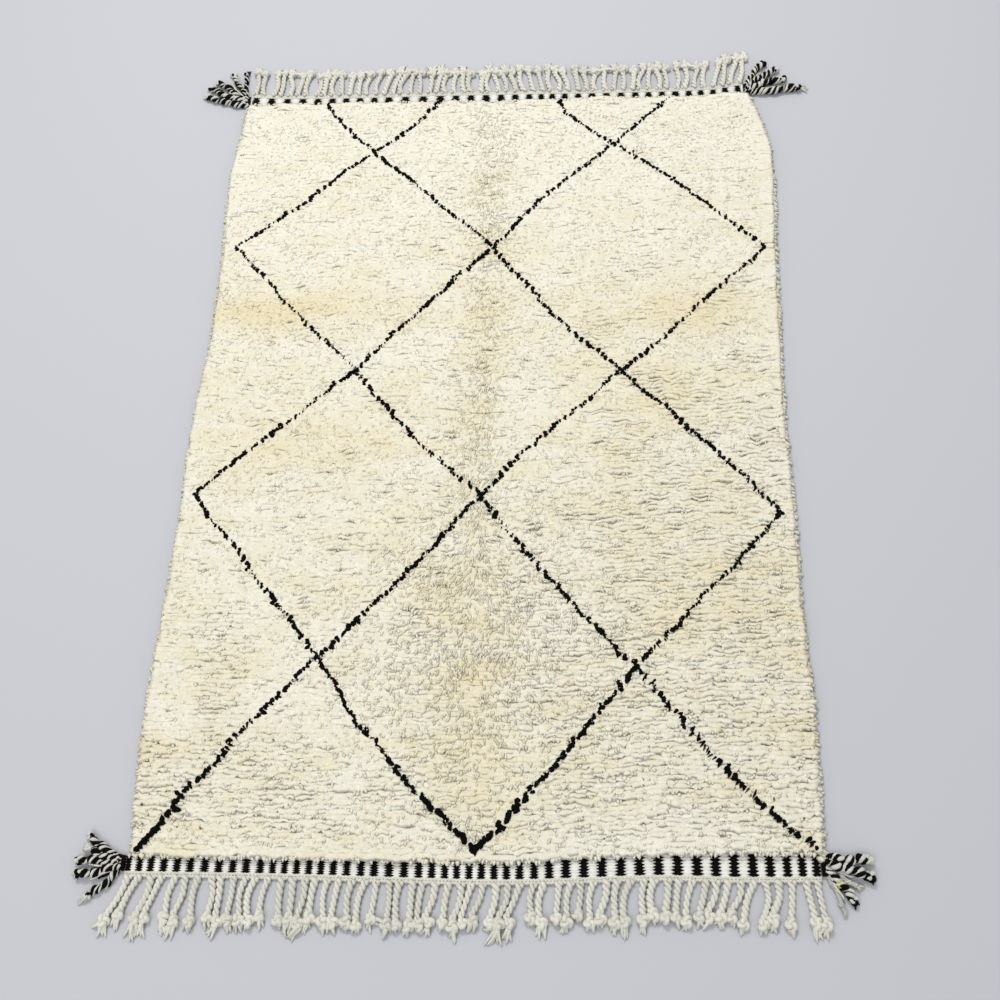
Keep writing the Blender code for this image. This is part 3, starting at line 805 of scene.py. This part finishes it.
def rim_locks(draw):
    """Short locks that fall outwards from the two long edges to the floor."""
    total = RIM_LAYERS * round((FAR_END[0].pile - NEAR_END[0].pile) / RIM_PITCH)
    high = (np.arange(total) % RIM_LAYERS) / (RIM_LAYERS - 1)
    parts = []
    for side in (-1, 1):
        y = np.linspace(NEAR_END[0].pile + 0.012, FAR_END[0].pile - 0.004, total)
        y = y + draw.normal(0, 0.0020, total)
        x = pile_edges(y)[side > 0] - side * (0.002 + 0.010 * high)
        reach = LOCK_REACH + 0.001 + 0.005 * high
        reach = reach + draw.uniform(-1, 1, total) * LOCK_REACH_VARIES * 1.3
        lean_y = draw.normal(-0.006, 0.0035, total)
        top = blend(*RIM_TOP, high) + draw.normal(0, 0.0008, total)
        width = draw.uniform(*RIM_WIDTH, total)
        droop = blend(*RIM_DROOP, high)
        tints = wool_tints(x, y, 0.10, draw)
        lean_x = side * reach
        parts.append(Locks(x, y, lean_x, lean_y, top, width, tints, LOCK_DEPTH, droop))
    return joined(*parts)


def end_locks(draw):
    """Short locks that fall over the inner edge of each band."""
    parts = []
    for end, direction in ((NEAR_END, -1), (FAR_END, 1)):
        count = round((end[-1].x - end[0].x - 2 * LOCK_REACH) / END_LOCK_PITCH)
        x = np.linspace(end[0].x + LOCK_REACH, end[-1].x - LOCK_REACH, count)
        x = x + draw.normal(0, 0.0015, count)
        high = draw.uniform(0.0, 1.0, count)
        y = end_line(end, "pile", x) - direction * (0.003 + 0.014 * high)
        reach = draw.uniform(*END_LOCK_REACH, count)
        turn = draw.normal(0, 0.40, count)
        lean_x, lean_y = reach * np.sin(turn), direction * reach * np.cos(turn)
        top = pile_top(x, y) - TOP_SINK - 0.0010
        width = draw.uniform(*END_LOCK_WIDTH, count)
        droop = blend(*END_LOCK_DROOP, high)
        tints = wool_tints(x, y, 0.12, draw)
        parts.append(Locks(x, y, lean_x, lean_y, top, width, tints, LOCK_DEPTH, droop))
    return joined(*parts)


def lattice_knots(draw):
    """The black knots, one after another along each leg of the lattice."""
    parts = []
    black = np.array(WOOLS["black"])
    for number, leg in enumerate(LEGS):
        start, stop = CORNERS[leg.start], CORNERS[leg.stop]
        count = round(abs(stop.y - start.y) / KNOT_STEP)
        share = (np.arange(count) + 0.5) / count
        y = blend(start.y, stop.y, share)
        x = blend(start.x, stop.x, share) + leg.bow * 4 * share * (1 - share)
        same = np.full(count, number)
        x = x + 0.0050 * wander(same, y, 0.060, 20 + number)
        x = x + draw.normal(0, KNOT_STRAY, count)
        stout = wander(same, y, 0.034, 80 + number)
        thin = wander(same, y, 0.050, 110 + number) < -0.80 - 0.60 * knotty(y)
        across = smoothstep(-0.50, -0.80, y)
        reach = KNOT_REACH * (1 + draw.normal(0, 0.16, count)) * (1 - 0.35 * thin)
        reach = reach * (1 + 0.22 * across)
        turn = 0.30 * wander(x, y, 0.06, 7) + draw.normal(0, 0.50, count) * (1 + 0.6 * knotty(y))
        turn = turn * (1 - 0.4 * across) - 0.90 * across * np.tanh(x / 0.08)
        lean_x, lean_y = reach * np.sin(turn), -reach * np.cos(turn)
        uneven = 1 + 0.05 * knotty(y) + 0.35 * smoothstep(-0.80, -0.95, y)
        uneven = uneven + 0.40 * stout + draw.normal(0, 0.27, count)
        width = np.clip(KNOT_WIDTH * uneven * (1 - 0.20 * across), *KNOT_WIDTHS)
        width = np.where(thin, THIN_KNOT, width)
        top = pile_top(x, y) - TOP_SINK + 0.0001 + 0.0012 * calm(x, y)
        top = top + 0.0010 * smoothstep(-0.80, -0.95, y)
        x, y = x - lean_x / 2, y - lean_y / 2
        tints = np.broadcast_to(black, (count, 3))
        parts.append(Locks(x, y, lean_x, lean_y, top, width, tints, LOCK_DEPTH, KNOT_DROOP))
    return joined(*parts)


def build_pile(cream, black):
    """The rows with their loose and rim locks, in pieces along the rug, and the lattice."""
    draw = np.random.default_rng(PILE_SEED)
    points, tints, numbers = comb_rows(draw)
    loose = loose_locks(draw)
    rims = (rim_locks(draw), end_locks(draw))
    pieces = []
    low = -math.inf
    for number, block in enumerate(np.array_split(np.arange(len(points)), PILE_PIECES), 1):
        high = math.inf if number == PILE_PIECES else points[block[-1], 0, 0, 1]
        heap = Heap()
        add_rows(heap, points[block], tints[block], numbers[block])
        add_locks(heap, pick(loose, low, high), 3, WISP_RINGS)
        for rim in rims:
            add_locks(heap, pick(rim, low, high), 4, TUFT_RINGS)
        pieces.append(heap.make(f"pile_{number}", cream, ["pile_field"]))
        low = high
    heap = Heap()
    add_locks(heap, lattice_knots(draw), 4, TUFT_RINGS)
    pieces.append(heap.make("lattice_knots", black, ["pile_field"]))
    return pieces


def build_ground(material):
    """The thin woven cloth that carries the knots, with the pile's lumps, closed to the floor."""
    columns, rows = GROUND_CELLS
    v, u = np.meshgrid(np.linspace(0, 1, rows + 1), np.linspace(0, 1, columns + 1))
    left, right = pile_edges(stations(SIDES[0].y, SIDES[-1].y, rows))
    left, right = left + GROUND_INSET, right - GROUND_INSET
    x = blend(left, right, u)
    near = end_line(NEAR_END, "pile", x) + 0.001
    far = end_line(FAR_END, "pile", x) - 0.001
    y = blend(near, far, v)
    rim = np.minimum(np.minimum(x - left, right - x), np.minimum(y - near, far - y))
    z = blend(GROUND_RIM, pile_top(x, y) - GROUND_DEPTH, smoothstep(0.0, 0.03, rim))
    top = xyz(x, y, z).reshape(-1, 3)
    grid = np.arange(len(top)).reshape(x.shape)
    hem = np.concatenate([grid[:-1, 0], grid[-1, :-1], grid[:0:-1, -1], grid[0, :0:-1]])
    below = len(top) + np.arange(len(hem))
    walls = np.stack([hem, below, np.roll(below, -1), np.roll(hem, -1)], axis=-1)
    points = np.concatenate([top, top[hem] * (1, 1, 0)])
    heap = Heap()
    faces = [grid_faces(grid), walls, below[None, ::-1]]
    # The cloth's cream is darkened to 0.8 as painted shade, for the shade down between the knots.
    heap.add(points, faces, np.array(WOOLS["cream"]) * 0.8, points * 60)
    return heap.make("ground_cloth", material, ["pile_field"])


# ---------------------------------------------------------------- bands

# Where a stitch's points lie, as shares of its half length and half width
STITCH_P = np.array([-1.0, -0.72, -0.30, 0.30, 0.72, 1.0])
STITCH_Q = np.array([-1.0, -0.5, 0.5, 1.0])
Stitch = namedtuple("Stitch", "x y half depth slant lift tint")


def add_stitches(heap, stitches):
    """Puffed stitches, pointed at both ends."""
    columns = [np.array(column) for column in zip(*stitches)]
    x, y, half, depth, slant, lift = (column[:, None, None] for column in columns[:-1])
    p, q = STITCH_P[:, None], STITCH_Q
    body = 1 - 0.88 * smoothstep(0.30, 1.0, np.abs(p))
    swell = np.cos(q * math.pi / 2) ** 0.7 * (1 - 0.55 * np.abs(p) ** 3)
    height = BAND_BASE - 0.0006 + STITCH_HEIGHT * swell + lift
    points = xyz(x + half * p, y + depth * q * body + slant * p, height)
    grid = np.arange(swell.size).reshape(swell.shape)
    under = np.stack([grid[:-1, 0], grid[:-1, -1], grid[1:, -1], grid[1:, 0]], axis=-1)
    base = (np.arange(len(stitches)) * grid.size)[:, None, None]
    parts = (grid_faces(grid).reshape(-1, 4), under, grid[:1], grid[-1:, ::-1])
    fibres = xyz(p * 3, q * 1.2, 0.0) + (np.arange(len(stitches)) * 1.9)[:, None, None, None]
    heap.add(points, [base + part for part in parts], columns[-1][:, None, None], fibres)


def add_strip(heap, rim):
    """A thin plain slab under the stitches, from the wool to the band's edge."""
    xs = end_stations(rim.end)
    inner = end_line(rim.end, "pile", xs) - rim.direction * 0.001
    outer = end_line(rim.end, "band", xs)
    low, high = (inner, outer)[::rim.direction]
    corners = ((low, 0.0), (low, BAND_BASE), (high, BAND_BASE), (high, 0.0))
    ring = np.stack([xyz(xs, y, z) for y, z in corners], axis=1)
    heap.add(ring[None], ring_faces(1, len(xs), 4), WOOLS["white"], ring[None] * 80)


def band_bars(rim, draw):
    """Each bar of a band, from where to where, and its wool."""
    bars = follow(rim.bars, "x", np.arange(rim.bar_count))
    bars = bars + draw.uniform(-0.0015, 0.0015, len(bars))
    first, last = rim.end[0].x - 0.001, rim.end[-1].x + 0.001
    before = np.concatenate([[2 * bars[0] - bars[1]], bars[:-1]])
    after = np.concatenate([bars[1:], [2 * bars[-1] - bars[-2]]])
    low = np.maximum(bars - (bars - before) * BAR_SHARE / 2, first)
    high = np.minimum(bars + (after - bars) * BAR_SHARE / 2, last)
    onward = np.minimum(after - (after - bars) * BAR_SHARE / 2, last)
    spans = []
    for start, stop, following in zip(low, high, onward):
        spans += [(start, stop, "black"), (stop, following, "ivory")]
    return spans + [(first, low[0], "ivory")]


def build_band(rim, material):
    """Bars of black and ivory stitches, whose pointed ends reach into each other."""
    draw = np.random.default_rng(rim.seed + 40)
    heap = Heap()
    add_strip(heap, rim)
    stitches = []
    for low, high, wool in band_bars(rim, draw):
        if high - low < BAR_LEAST:
            continue
        black = wool == "black"
        middle = (low + high) / 2
        rounded = rim.rounded if black else 0.0
        inner = float(end_line(rim.end, "pile", middle))
        outer = float(end_line(rim.end, "band", middle))
        pitch = (outer - inner) / STITCH_ROWS
        count = STITCH_ROWS if black else STITCH_ROWS + 1
        for row in range(count):
            outside = abs(2 * (row + 0.5) / count - 1)
            half = (high - low) / 2 * (1 - rounded * outside ** 2) + TOOTH[wool]
            stitches.append(Stitch(
                x=middle + draw.uniform(-0.0005, 0.0005),
                y=inner + pitch * (row + 0.5 * black) + draw.uniform(-0.0004, 0.0004),
                half=half + draw.uniform(-0.0008, 0.0010),
                depth=abs(pitch) * STITCH_DEPTH[wool],
                slant=draw.uniform(-0.0004, 0.0004),
                lift=0.0006 * black,
                tint=np.array(STITCH_WOOLS[wool]) * draw.uniform(0.94, 1.04),
            ))
    add_stitches(heap, stitches)
    return heap.make(f"band_{rim.word}_stitches", material, [f"band_{rim.word}"])


# ---------------------------------------------------------------- fringes

def keep_apart(places, least):
    """Push each place along so that it stays at least a given distance from the one before."""
    apart = places[:1]
    for place in places[1:]:
        apart.append(max(place, apart[-1] + least))
    return apart


def cord_stations(rim):
    """Root and stations of every warp cord on the floor, as in the solids."""
    draw = random.Random(rim.seed)
    first = rim.end[0].x + CORD_WIDTH
    last = rim.end[-1].x - CORD_WIDTH
    places = stations(first, last, rim.cords - 1)
    inner = [x + draw.uniform(-CORD_ROOT_JITTER, CORD_ROOT_JITTER) for x in places[1:-1]]
    roots = np.array(places[:1] + inner + places[-1:])
    leans, sways, extras = (
        np.array([draw.uniform(-most, most) for _ in roots])
        for most in (CORD_LEAN_JITTER, CORD_SWAY, CORD_LENGTH_JITTER)
    )
    drifts = follow(rim.lie, "drift", roots) + leans
    lengths = follow(rim.lie, "length", roots) + extras
    edge = follow(rim.end, "band", roots)
    rows = [xyz(roots, edge + rim.direction * HEADING_WIDTH * 0.7, 0.0)]
    for station in CORD_STATIONS:
        xs = roots + drifts * station.lean + sways * (1 - station.along) * 2
        xs = keep_apart(list(xs), station.apart)
        reach = HEADING_WIDTH + lengths * station.along + station.past
        rows.append(xyz(xs, edge + rim.direction * reach, 0.0))
    return np.stack(rows, axis=1)


def knot_paths(centres, size, tallness, draw, places=30):
    """An overhand knot's closed line round each centre, turned and tilted at random."""
    t = np.linspace(0.12, 2 * math.pi - 0.12, places)
    x, y = np.sin(t) + 2 * np.sin(2 * t), np.cos(t) - 2 * np.cos(2 * t)
    shape = xyz(x, y, -tallness * np.sin(3 * t))
    paths = []
    for centre, scale in zip(centres, size):
        turned = Matrix.Rotation(draw.uniform(0, 2 * math.pi), 3, "Z")
        tilted = Matrix.Rotation(draw.uniform(-0.5, 0.5), 3, "X")
        paths.append(centre + scale * shape @ np.array(turned @ tilted).T)
    return np.array(paths)


def loose_ends(starts, headings, lengths, draw, spread, places=7):
    """Curling locks that leave each start in about its heading, and come down to the floor."""
    count = len(starts)
    t = np.linspace(0, 1, places)[None]
    turn = headings + draw.normal(0, spread, count)
    curl = draw.normal(0, 0.45, count)[:, None]
    angle = turn[:, None] + curl * t
    step = lengths[:, None] / (places - 1)
    x = starts[:, 0, None] + np.cumsum(np.cos(angle) * step, axis=1) - np.cos(angle[:, :1]) * step
    y = starts[:, 1, None] + np.cumsum(np.sin(angle) * step, axis=1) - np.sin(angle[:, :1]) * step
    lift = draw.uniform(0.0, 0.004, count)[:, None]
    z = starts[:, 2, None] * (1 - t) ** 1.4 + 0.0020 + lift * np.sin(math.pi * t)
    return xyz(x, y, z)


def add_heading(heap, rim, draw):
    """The twined strip: two ropes of two strands each, laid side by side."""
    xs = np.linspace(rim.end[0].x, rim.end[-1].x, 360)
    edge = end_line(rim.end, "band", xs)
    for offset, spin in ((0.0030, 1), (0.0085, -1)):
        lift = 0.0044 + 0.0006 * wander(xs, xs * 0, 0.05, offset)
        path = xyz(xs, edge + rim.direction * offset, lift)[None]
        for half in (0.0, 0.5):
            strand = wind(path, TWINE_OFFSET, TWINE_PITCH * spin, 0.0, half)
            tint = np.array(WOOLS["ivory"]) * draw.uniform(0.94, 1.0)
            add_tubes(heap, strand, TWINE_RADIUS, tint, sides=5, offset=offset + half)


def add_cords(heap, rows, tint, draw):
    """Each warp cord is twisted from two strands, which splay where they leave the heading."""
    count = len(rows)
    paths = smooth_paths(rows[:, :KNOT_STATION + 2], 26)
    stout = draw.uniform(0.92, 1.12, (count, 1))
    pitch = TWIST_PITCH * draw.uniform(0.85, 1.1, (count, 1))
    splay = 1 + 0.8 * np.exp(-lengths_along(paths) / 0.007)
    phase = draw.uniform(0, 2 * math.pi, (count, 1))
    for half in (0.0, 0.5):
        offset = (STRAND_OFFSET * stout * splay)[..., None]
        strands = wind(paths, offset, pitch, phase, half, flatten=0.78)
        add_tubes(heap, strands, STRAND_RADIUS * stout, tint, flatten=0.85, offset=half * 9)


def add_tapered(heap, ends, thick, tip, tints, offset):
    """Loose ends that thin towards their tips, and lie on the floor."""
    radii = thick[:, None] * np.linspace(1, 0, ends.shape[1]) ** 0.55 + tip
    ends[:, :, 2] = np.maximum(ends[:, :, 2], radii)
    add_tubes(heap, ends, radii, tints, sides=5, offset=offset)


def add_frays(heap, knots, heading, lengths, many, tint, draw):
    """Thick tapered locks that leave each knot."""
    owner = np.repeat(np.arange(len(knots)), many)
    starts = knots[owner] + draw.normal(0, 0.0034, (len(owner), 3)) * (1, 1, 0.3)
    reach = lengths[owner] * draw.uniform(0.7, 1.05, len(owner))
    ends = loose_ends(starts, heading[owner], reach, draw, FRAY_SPREAD)
    thick = draw.uniform(*FRAY_RADIUS, len(owner))
    add_tapered(heap, ends, thick, 0.0011, tint[owner] * 1.02, 11.0)


def add_links(heap, knots, tint, draw):
    """Ends that lie across from one knot to the next."""
    for i in range(len(knots) - 1):
        if draw.random() < LINK_SHARE and knots[i + 1, 0] - knots[i, 0] < LINK_LENGTH:
            start, stop = knots[i], knots[i + 1]
            sag = draw.uniform(-0.006, 0.010) * np.sign(knots[i, 1])
            middle = (start + stop) / 2 + np.array([0.0, sag, 0.002])
            path = smooth_paths(np.stack([start, middle, stop])[None], 9)
            add_tubes(heap, path, LINK_RADIUS, tint[i], offset=i)


def build_fringe(rim, material):
    """The heading and its twisted warp cords, each with a knot and frayed ends."""
    draw = np.random.default_rng(rim.seed + 60)
    heap = Heap()
    add_heading(heap, rim, draw)
    rows = cord_stations(rim)
    count = len(rows)
    rows[:, :, 2] = CORD_MIDDLE
    rows[:, 1, 2] += draw.uniform(0.0, 0.0015, count)
    tint = np.array(WOOLS["ivory"]) * draw.uniform(0.90, 1.03, (count, 1))
    add_cords(heap, rows, tint, draw)

    knots = rows[:, KNOT_STATION + 1].copy()
    onward = rows[:, -1] - knots
    heading = np.arctan2(onward[:, 1], onward[:, 0])
    knots[:, 2] = CORD_KNOT_MIDDLE
    size = draw.uniform(*CORD_KNOT, count)
    loops = knot_paths(knots, size, 1.15, draw)
    add_tubes(heap, loops, CORD_KNOT_STRAND, tint * 1.01, offset=5.0)
    lengths = draw.uniform(*FRAY_LENGTH, count)
    many = draw.integers(3, 6, count)
    for brush in (row for row in BRUSHES if row.word == rim.word):
        near = np.exp(-((knots[:, 0] - brush.x) / brush.spread) ** 2)
        lengths = lengths + brush.length * near
        many = many + np.round(3 * near).astype(int)
    add_frays(heap, knots, heading, lengths, many, tint, draw)
    add_links(heap, knots, tint, draw)
    return heap.make(f"fringe_{rim.word}_cords", material, [f"fringe_{rim.word}"])


# ---------------------------------------------------------------- tassels

def tassel_roots(tassel):
    """Where a tassel's cords leave its head, as in the solids."""
    corner = tassel.end[0] if tassel.side < 0 else tassel.end[-1]
    outer_x = corner.x + tassel.side * (GAP + HEAD_WIDTH)
    start = corner.pile + tassel.direction * (GAP + HEAD_INSET)
    count = len(tassel.plies)
    pitch = (corner.band - start) / count
    return [Vector((outer_x, start + pitch * (i + 0.5), 0.0)) for i in range(count)]


def ply_path(tassel, origin, ply):
    """The middle line of a tassel's cord, from inside the head to its knot."""
    run = Vector((ply.x, ply.y, 0.0)) - origin
    sideways = Vector((-run.y, run.x, 0.0)).normalized()
    places = []
    for along in np.linspace(-0.06, 0.90, 40):
        bow = ply.bow * 4 * along * (1 - along) * -tassel.side
        place = origin + run * along + sideways * bow
        places.append((place.x, place.y, 0.0))
    return np.array([places]), run


def add_binding(heap, tassel, draw):
    """Black yarn wound round the cords where they leave the band."""
    corner = tassel.end[0] if tassel.side < 0 else tassel.end[-1]
    middle = (corner.pile + corner.band) / 2
    half = abs(corner.pile - corner.band) / 2 - 0.001
    angle = np.linspace(0, 2 * math.pi * YARN_TURNS, 64)
    along = np.linspace(0.0015, HEAD_WIDTH - 0.001, 64)
    y, z = middle + half * np.cos(angle), 0.0068 + 0.0048 * np.sin(angle)
    path = xyz(corner.x + tassel.side * along, y, z)[None]
    add_tubes(heap, path, YARN_RADIUS, WOOLS["black"])


def add_tassel_knot(heap, centre, scale, wools, draw, offset):
    """An overhand knot, half of it in each of two wools."""
    knot = knot_paths([centre], np.array([PLY_KNOT * scale]), 1.4, draw)
    half = knot.shape[1] // 2
    for piece, wool in zip((knot[:, :half + 1], knot[:, half:]), wools.split()):
        add_tubes(heap, piece, PLY_KNOT_STRAND * scale, TASSEL_WOOLS[wool], offset=offset)


def add_tassel_ends(heap, start, heading, ply, draw, offset):
    """The loose ends beyond a tassel cord's knot."""
    many = 5 if ply.ends > 0.01 else 3
    starts = np.repeat(start[None], many, axis=0) + draw.normal(0, 0.0022, (many, 3))
    lengths = (0.011 + ply.ends) * draw.uniform(0.8, 1.1, many)
    ends = loose_ends(starts, np.full(many, heading), lengths, draw, 0.34)
    thick = draw.uniform(*PLY_END_RADIUS, many)
    add_tapered(heap, ends, thick, 0.0006, TASSEL_WOOLS[ply.loose], offset)


def add_yarn_wrap(heap, place, heading, draw):
    """A few turns of bright yarn tied round a cord, with two short ends."""
    angle = np.linspace(0, 2 * math.pi * YARN_TURNS, 44)[:, None]
    along = np.linspace(-0.0065, 0.0065, 44)[:, None]
    ahead = np.array([math.cos(heading), math.sin(heading), 0.0])
    aside = np.array([-ahead[1], ahead[0], 0.0])
    turns = np.cos(angle) * aside + np.sin(angle) * Z_AXIS
    path = np.array(place) + along * ahead + 0.0072 * turns
    add_tubes(heap, path[None], YARN_RADIUS, WOOLS["lime"])
    starts = np.array([place, place]) + Z_AXIS * 0.007
    ends = loose_ends(starts, heading + np.array([1.2, -1.5]), np.array([0.016, 0.013]), draw, 0.1)
    add_tubes(heap, ends, 0.0015, WOOLS["lime"], sides=5)


def add_short_strands(heap, tassel, draw):
    """Loose black and ivory strands that lie between the cords near the head."""
    roots = np.array(tassel_roots(tassel))[:, :2]
    goals = np.array([(ply.x, ply.y) for ply in tassel.plies])
    for number in range(2 * len(roots) - 2):
        first = number // 2
        start = (roots[first] + roots[first + 1]) / 2
        run = blend(goals[first], goals[first + 1], draw.uniform(0.25, 0.75)) - start
        along = np.linspace(-0.05, draw.uniform(0.45, 0.80), 12)[:, None]
        aside = np.array([-run[1], run[0]]) / np.hypot(*run)
        sway = 0.0035 * np.sin(along * 11 + number * 1.9) * np.clip(along, 0, 1)
        height = 0.0090 + 0.0035 * (number % 2) - 0.0050 * along
        path = np.hstack([start + run * along + aside * sway, height])
        radii = SHORT_STRAND_RADIUS * np.linspace(1, 0.45, 12) ** 0.5
        wool = TASSEL_WOOLS[("black", "ivory")[number % 2]]
        add_tubes(heap, path[None], radii, wool, offset=number)


def build_tassel(tassel, material):
    """Cords plied from thin strands, each with its knot and its loose ends."""
    draw = np.random.default_rng(len(tassel.name) * 7 + len(tassel.plies))
    heap = Heap()
    add_binding(heap, tassel, draw)
    for number, (origin, ply) in enumerate(zip(tassel_roots(tassel), tassel.plies)):
        path, run = ply_path(tassel, origin, ply)
        share = np.linspace(0, 1, path.shape[1])[None]
        uneven = 1 + 0.10 * np.sin(share * 23 + number * 2)
        stout = ply.width * PLY_TURN * (0.74 + 0.26 * smoothstep(0.0, 0.30, share)) * uneven
        path[:, :, 2] = stout * 1.80 + 0.005 * np.exp(-share / 0.25) * (number % 2)
        heading = math.atan2(run.y, run.x)
        sway = 0.0022 * np.sin(share * 9 + number * 2.4) * smoothstep(0.0, 0.4, share)
        path[:, :, 0] -= math.sin(heading) * sway
        path[:, :, 1] += math.cos(heading) * sway
        wools = (ply.strands.split() * PLY_STRANDS)[:PLY_STRANDS]
        for turn, wool in enumerate(wools):
            uneven = 1 + 0.22 * np.sin(share * draw.uniform(15, 30) + draw.uniform(0, 6))
            slack = turn / len(wools) + 0.06 * np.sin(share * draw.uniform(10, 24) + turn)
            strand = wind(path, (stout * 1.10 * uneven)[..., None], PLY_PITCH, number * 1.3, slack)
            add_tubes(heap, strand, stout * 0.70 * uneven, TASSEL_WOOLS[wool], offset=number + turn)
        end = path[0, -1]
        scale = ply.width / PLY_WIDTH
        if ply.knot:
            centre = end + np.array([run.x, run.y, 0.0]) / run.length * 0.005
            centre[2] = 0.0090 * scale
            add_tassel_knot(heap, centre, scale, ply.knot, draw, number * 2)
        add_tassel_ends(heap, end, heading, ply, draw, number * 3)
        if tassel.name == LIME_TASSEL and number == LIME_CORD:
            add_yarn_wrap(heap, path[0, path.shape[1] // 2], heading, draw)
    add_short_strands(heap, tassel, draw)
    return heap.make(f"{tassel.name}_cords", material, [tassel.name])


# ---------------------------------------------------------------- room

def build_floor():
    """A plain pale floor, a little under the rug."""
    bpy.ops.mesh.primitive_plane_add(size=FLOOR_SIZE, location=(0.0, 0.0, -0.0004))
    floor = bpy.context.object
    floor.name = "floor"
    material = bpy.data.materials.new("floor_paint")
    material.use_nodes = True
    shader = material.node_tree.nodes["Principled BSDF"]
    shader.inputs["Base Color"].default_value = FLOOR_COLOUR
    shader.inputs["Roughness"].default_value = 0.8
    floor.data.materials.append(material)


def light_room():
    """Two round lamps aimed at the rug, under a bright even sky."""
    for light in LIGHTS:
        data = bpy.data.lights.new(light.name, "AREA")
        data.shape = "DISK"
        data.size = light.size
        data.energy = light.power
        data.color = light.colour
        lamp = bpy.data.objects.new(light.name, data)
        lamp.location = light.place
        lamp.rotation_euler = (-Vector(light.place)).to_track_quat("-Z", "Y").to_euler()
        bpy.context.scene.collection.objects.link(lamp)
    world = bpy.data.worlds.new("studio")
    world.use_nodes = True
    sky = world.node_tree.nodes["Background"]
    sky.inputs["Color"].default_value = SKY_COLOUR
    sky.inputs["Strength"].default_value = SKY_STRENGTH
    bpy.context.scene.world = world
    bpy.context.scene.view_settings.view_transform = "Standard"


def place_camera():
    """Above the near end, turned a little to the left and tilted."""
    data = bpy.data.cameras.new("camera")
    data.sensor_width = 36.0
    data.lens = CAMERA_LENS
    camera = bpy.data.objects.new("camera", data)
    turns = ((CAMERA_YAW, "Z"), (90 - CAMERA_PITCH, "X"), (CAMERA_ROLL, "Z"))
    matrix = Matrix.Translation(Vector(CAMERA_PLACE) + Vector(SHIFT))
    for degrees, axis in turns:
        matrix = matrix @ Matrix.Rotation(math.radians(degrees), 4, axis)
    camera.matrix_world = matrix
    bpy.context.scene.collection.objects.link(camera)
    bpy.context.scene.camera = camera


def main():
    pile_wool = wool_material("pile_wool_strands", 2.2, relief=0.35, mottle=0.12, sheen=0.15)
    lattice_wool = wool_material("lattice_wool_strands", 2.2, relief=0.35, mottle=0.10, sheen=0.0)
    band_wool = wool_material("band_wool_stitches", 2.6, relief=0.30, mottle=0.10, sheen=0.03)
    warp_wool = wool_material("warp_wool_strands", 2.4, relief=0.45, mottle=0.12, sheen=0.10)
    plied_wool = wool_material("plied_wool_strands", 2.4, relief=0.45, mottle=0.12, sheen=0.03)

    ground = build_ground(pile_wool)
    on_it = build_pile(pile_wool, lattice_wool)
    for rim in RIMS:
        on_it.append(build_band(rim, band_wool))
        on_it.append(build_fringe(rim, warp_wool))
    for tassel in TASSELS:
        on_it.append(build_tassel(tassel, plied_wool))

    build_floor()
    light_room()
    place_camera()


main()
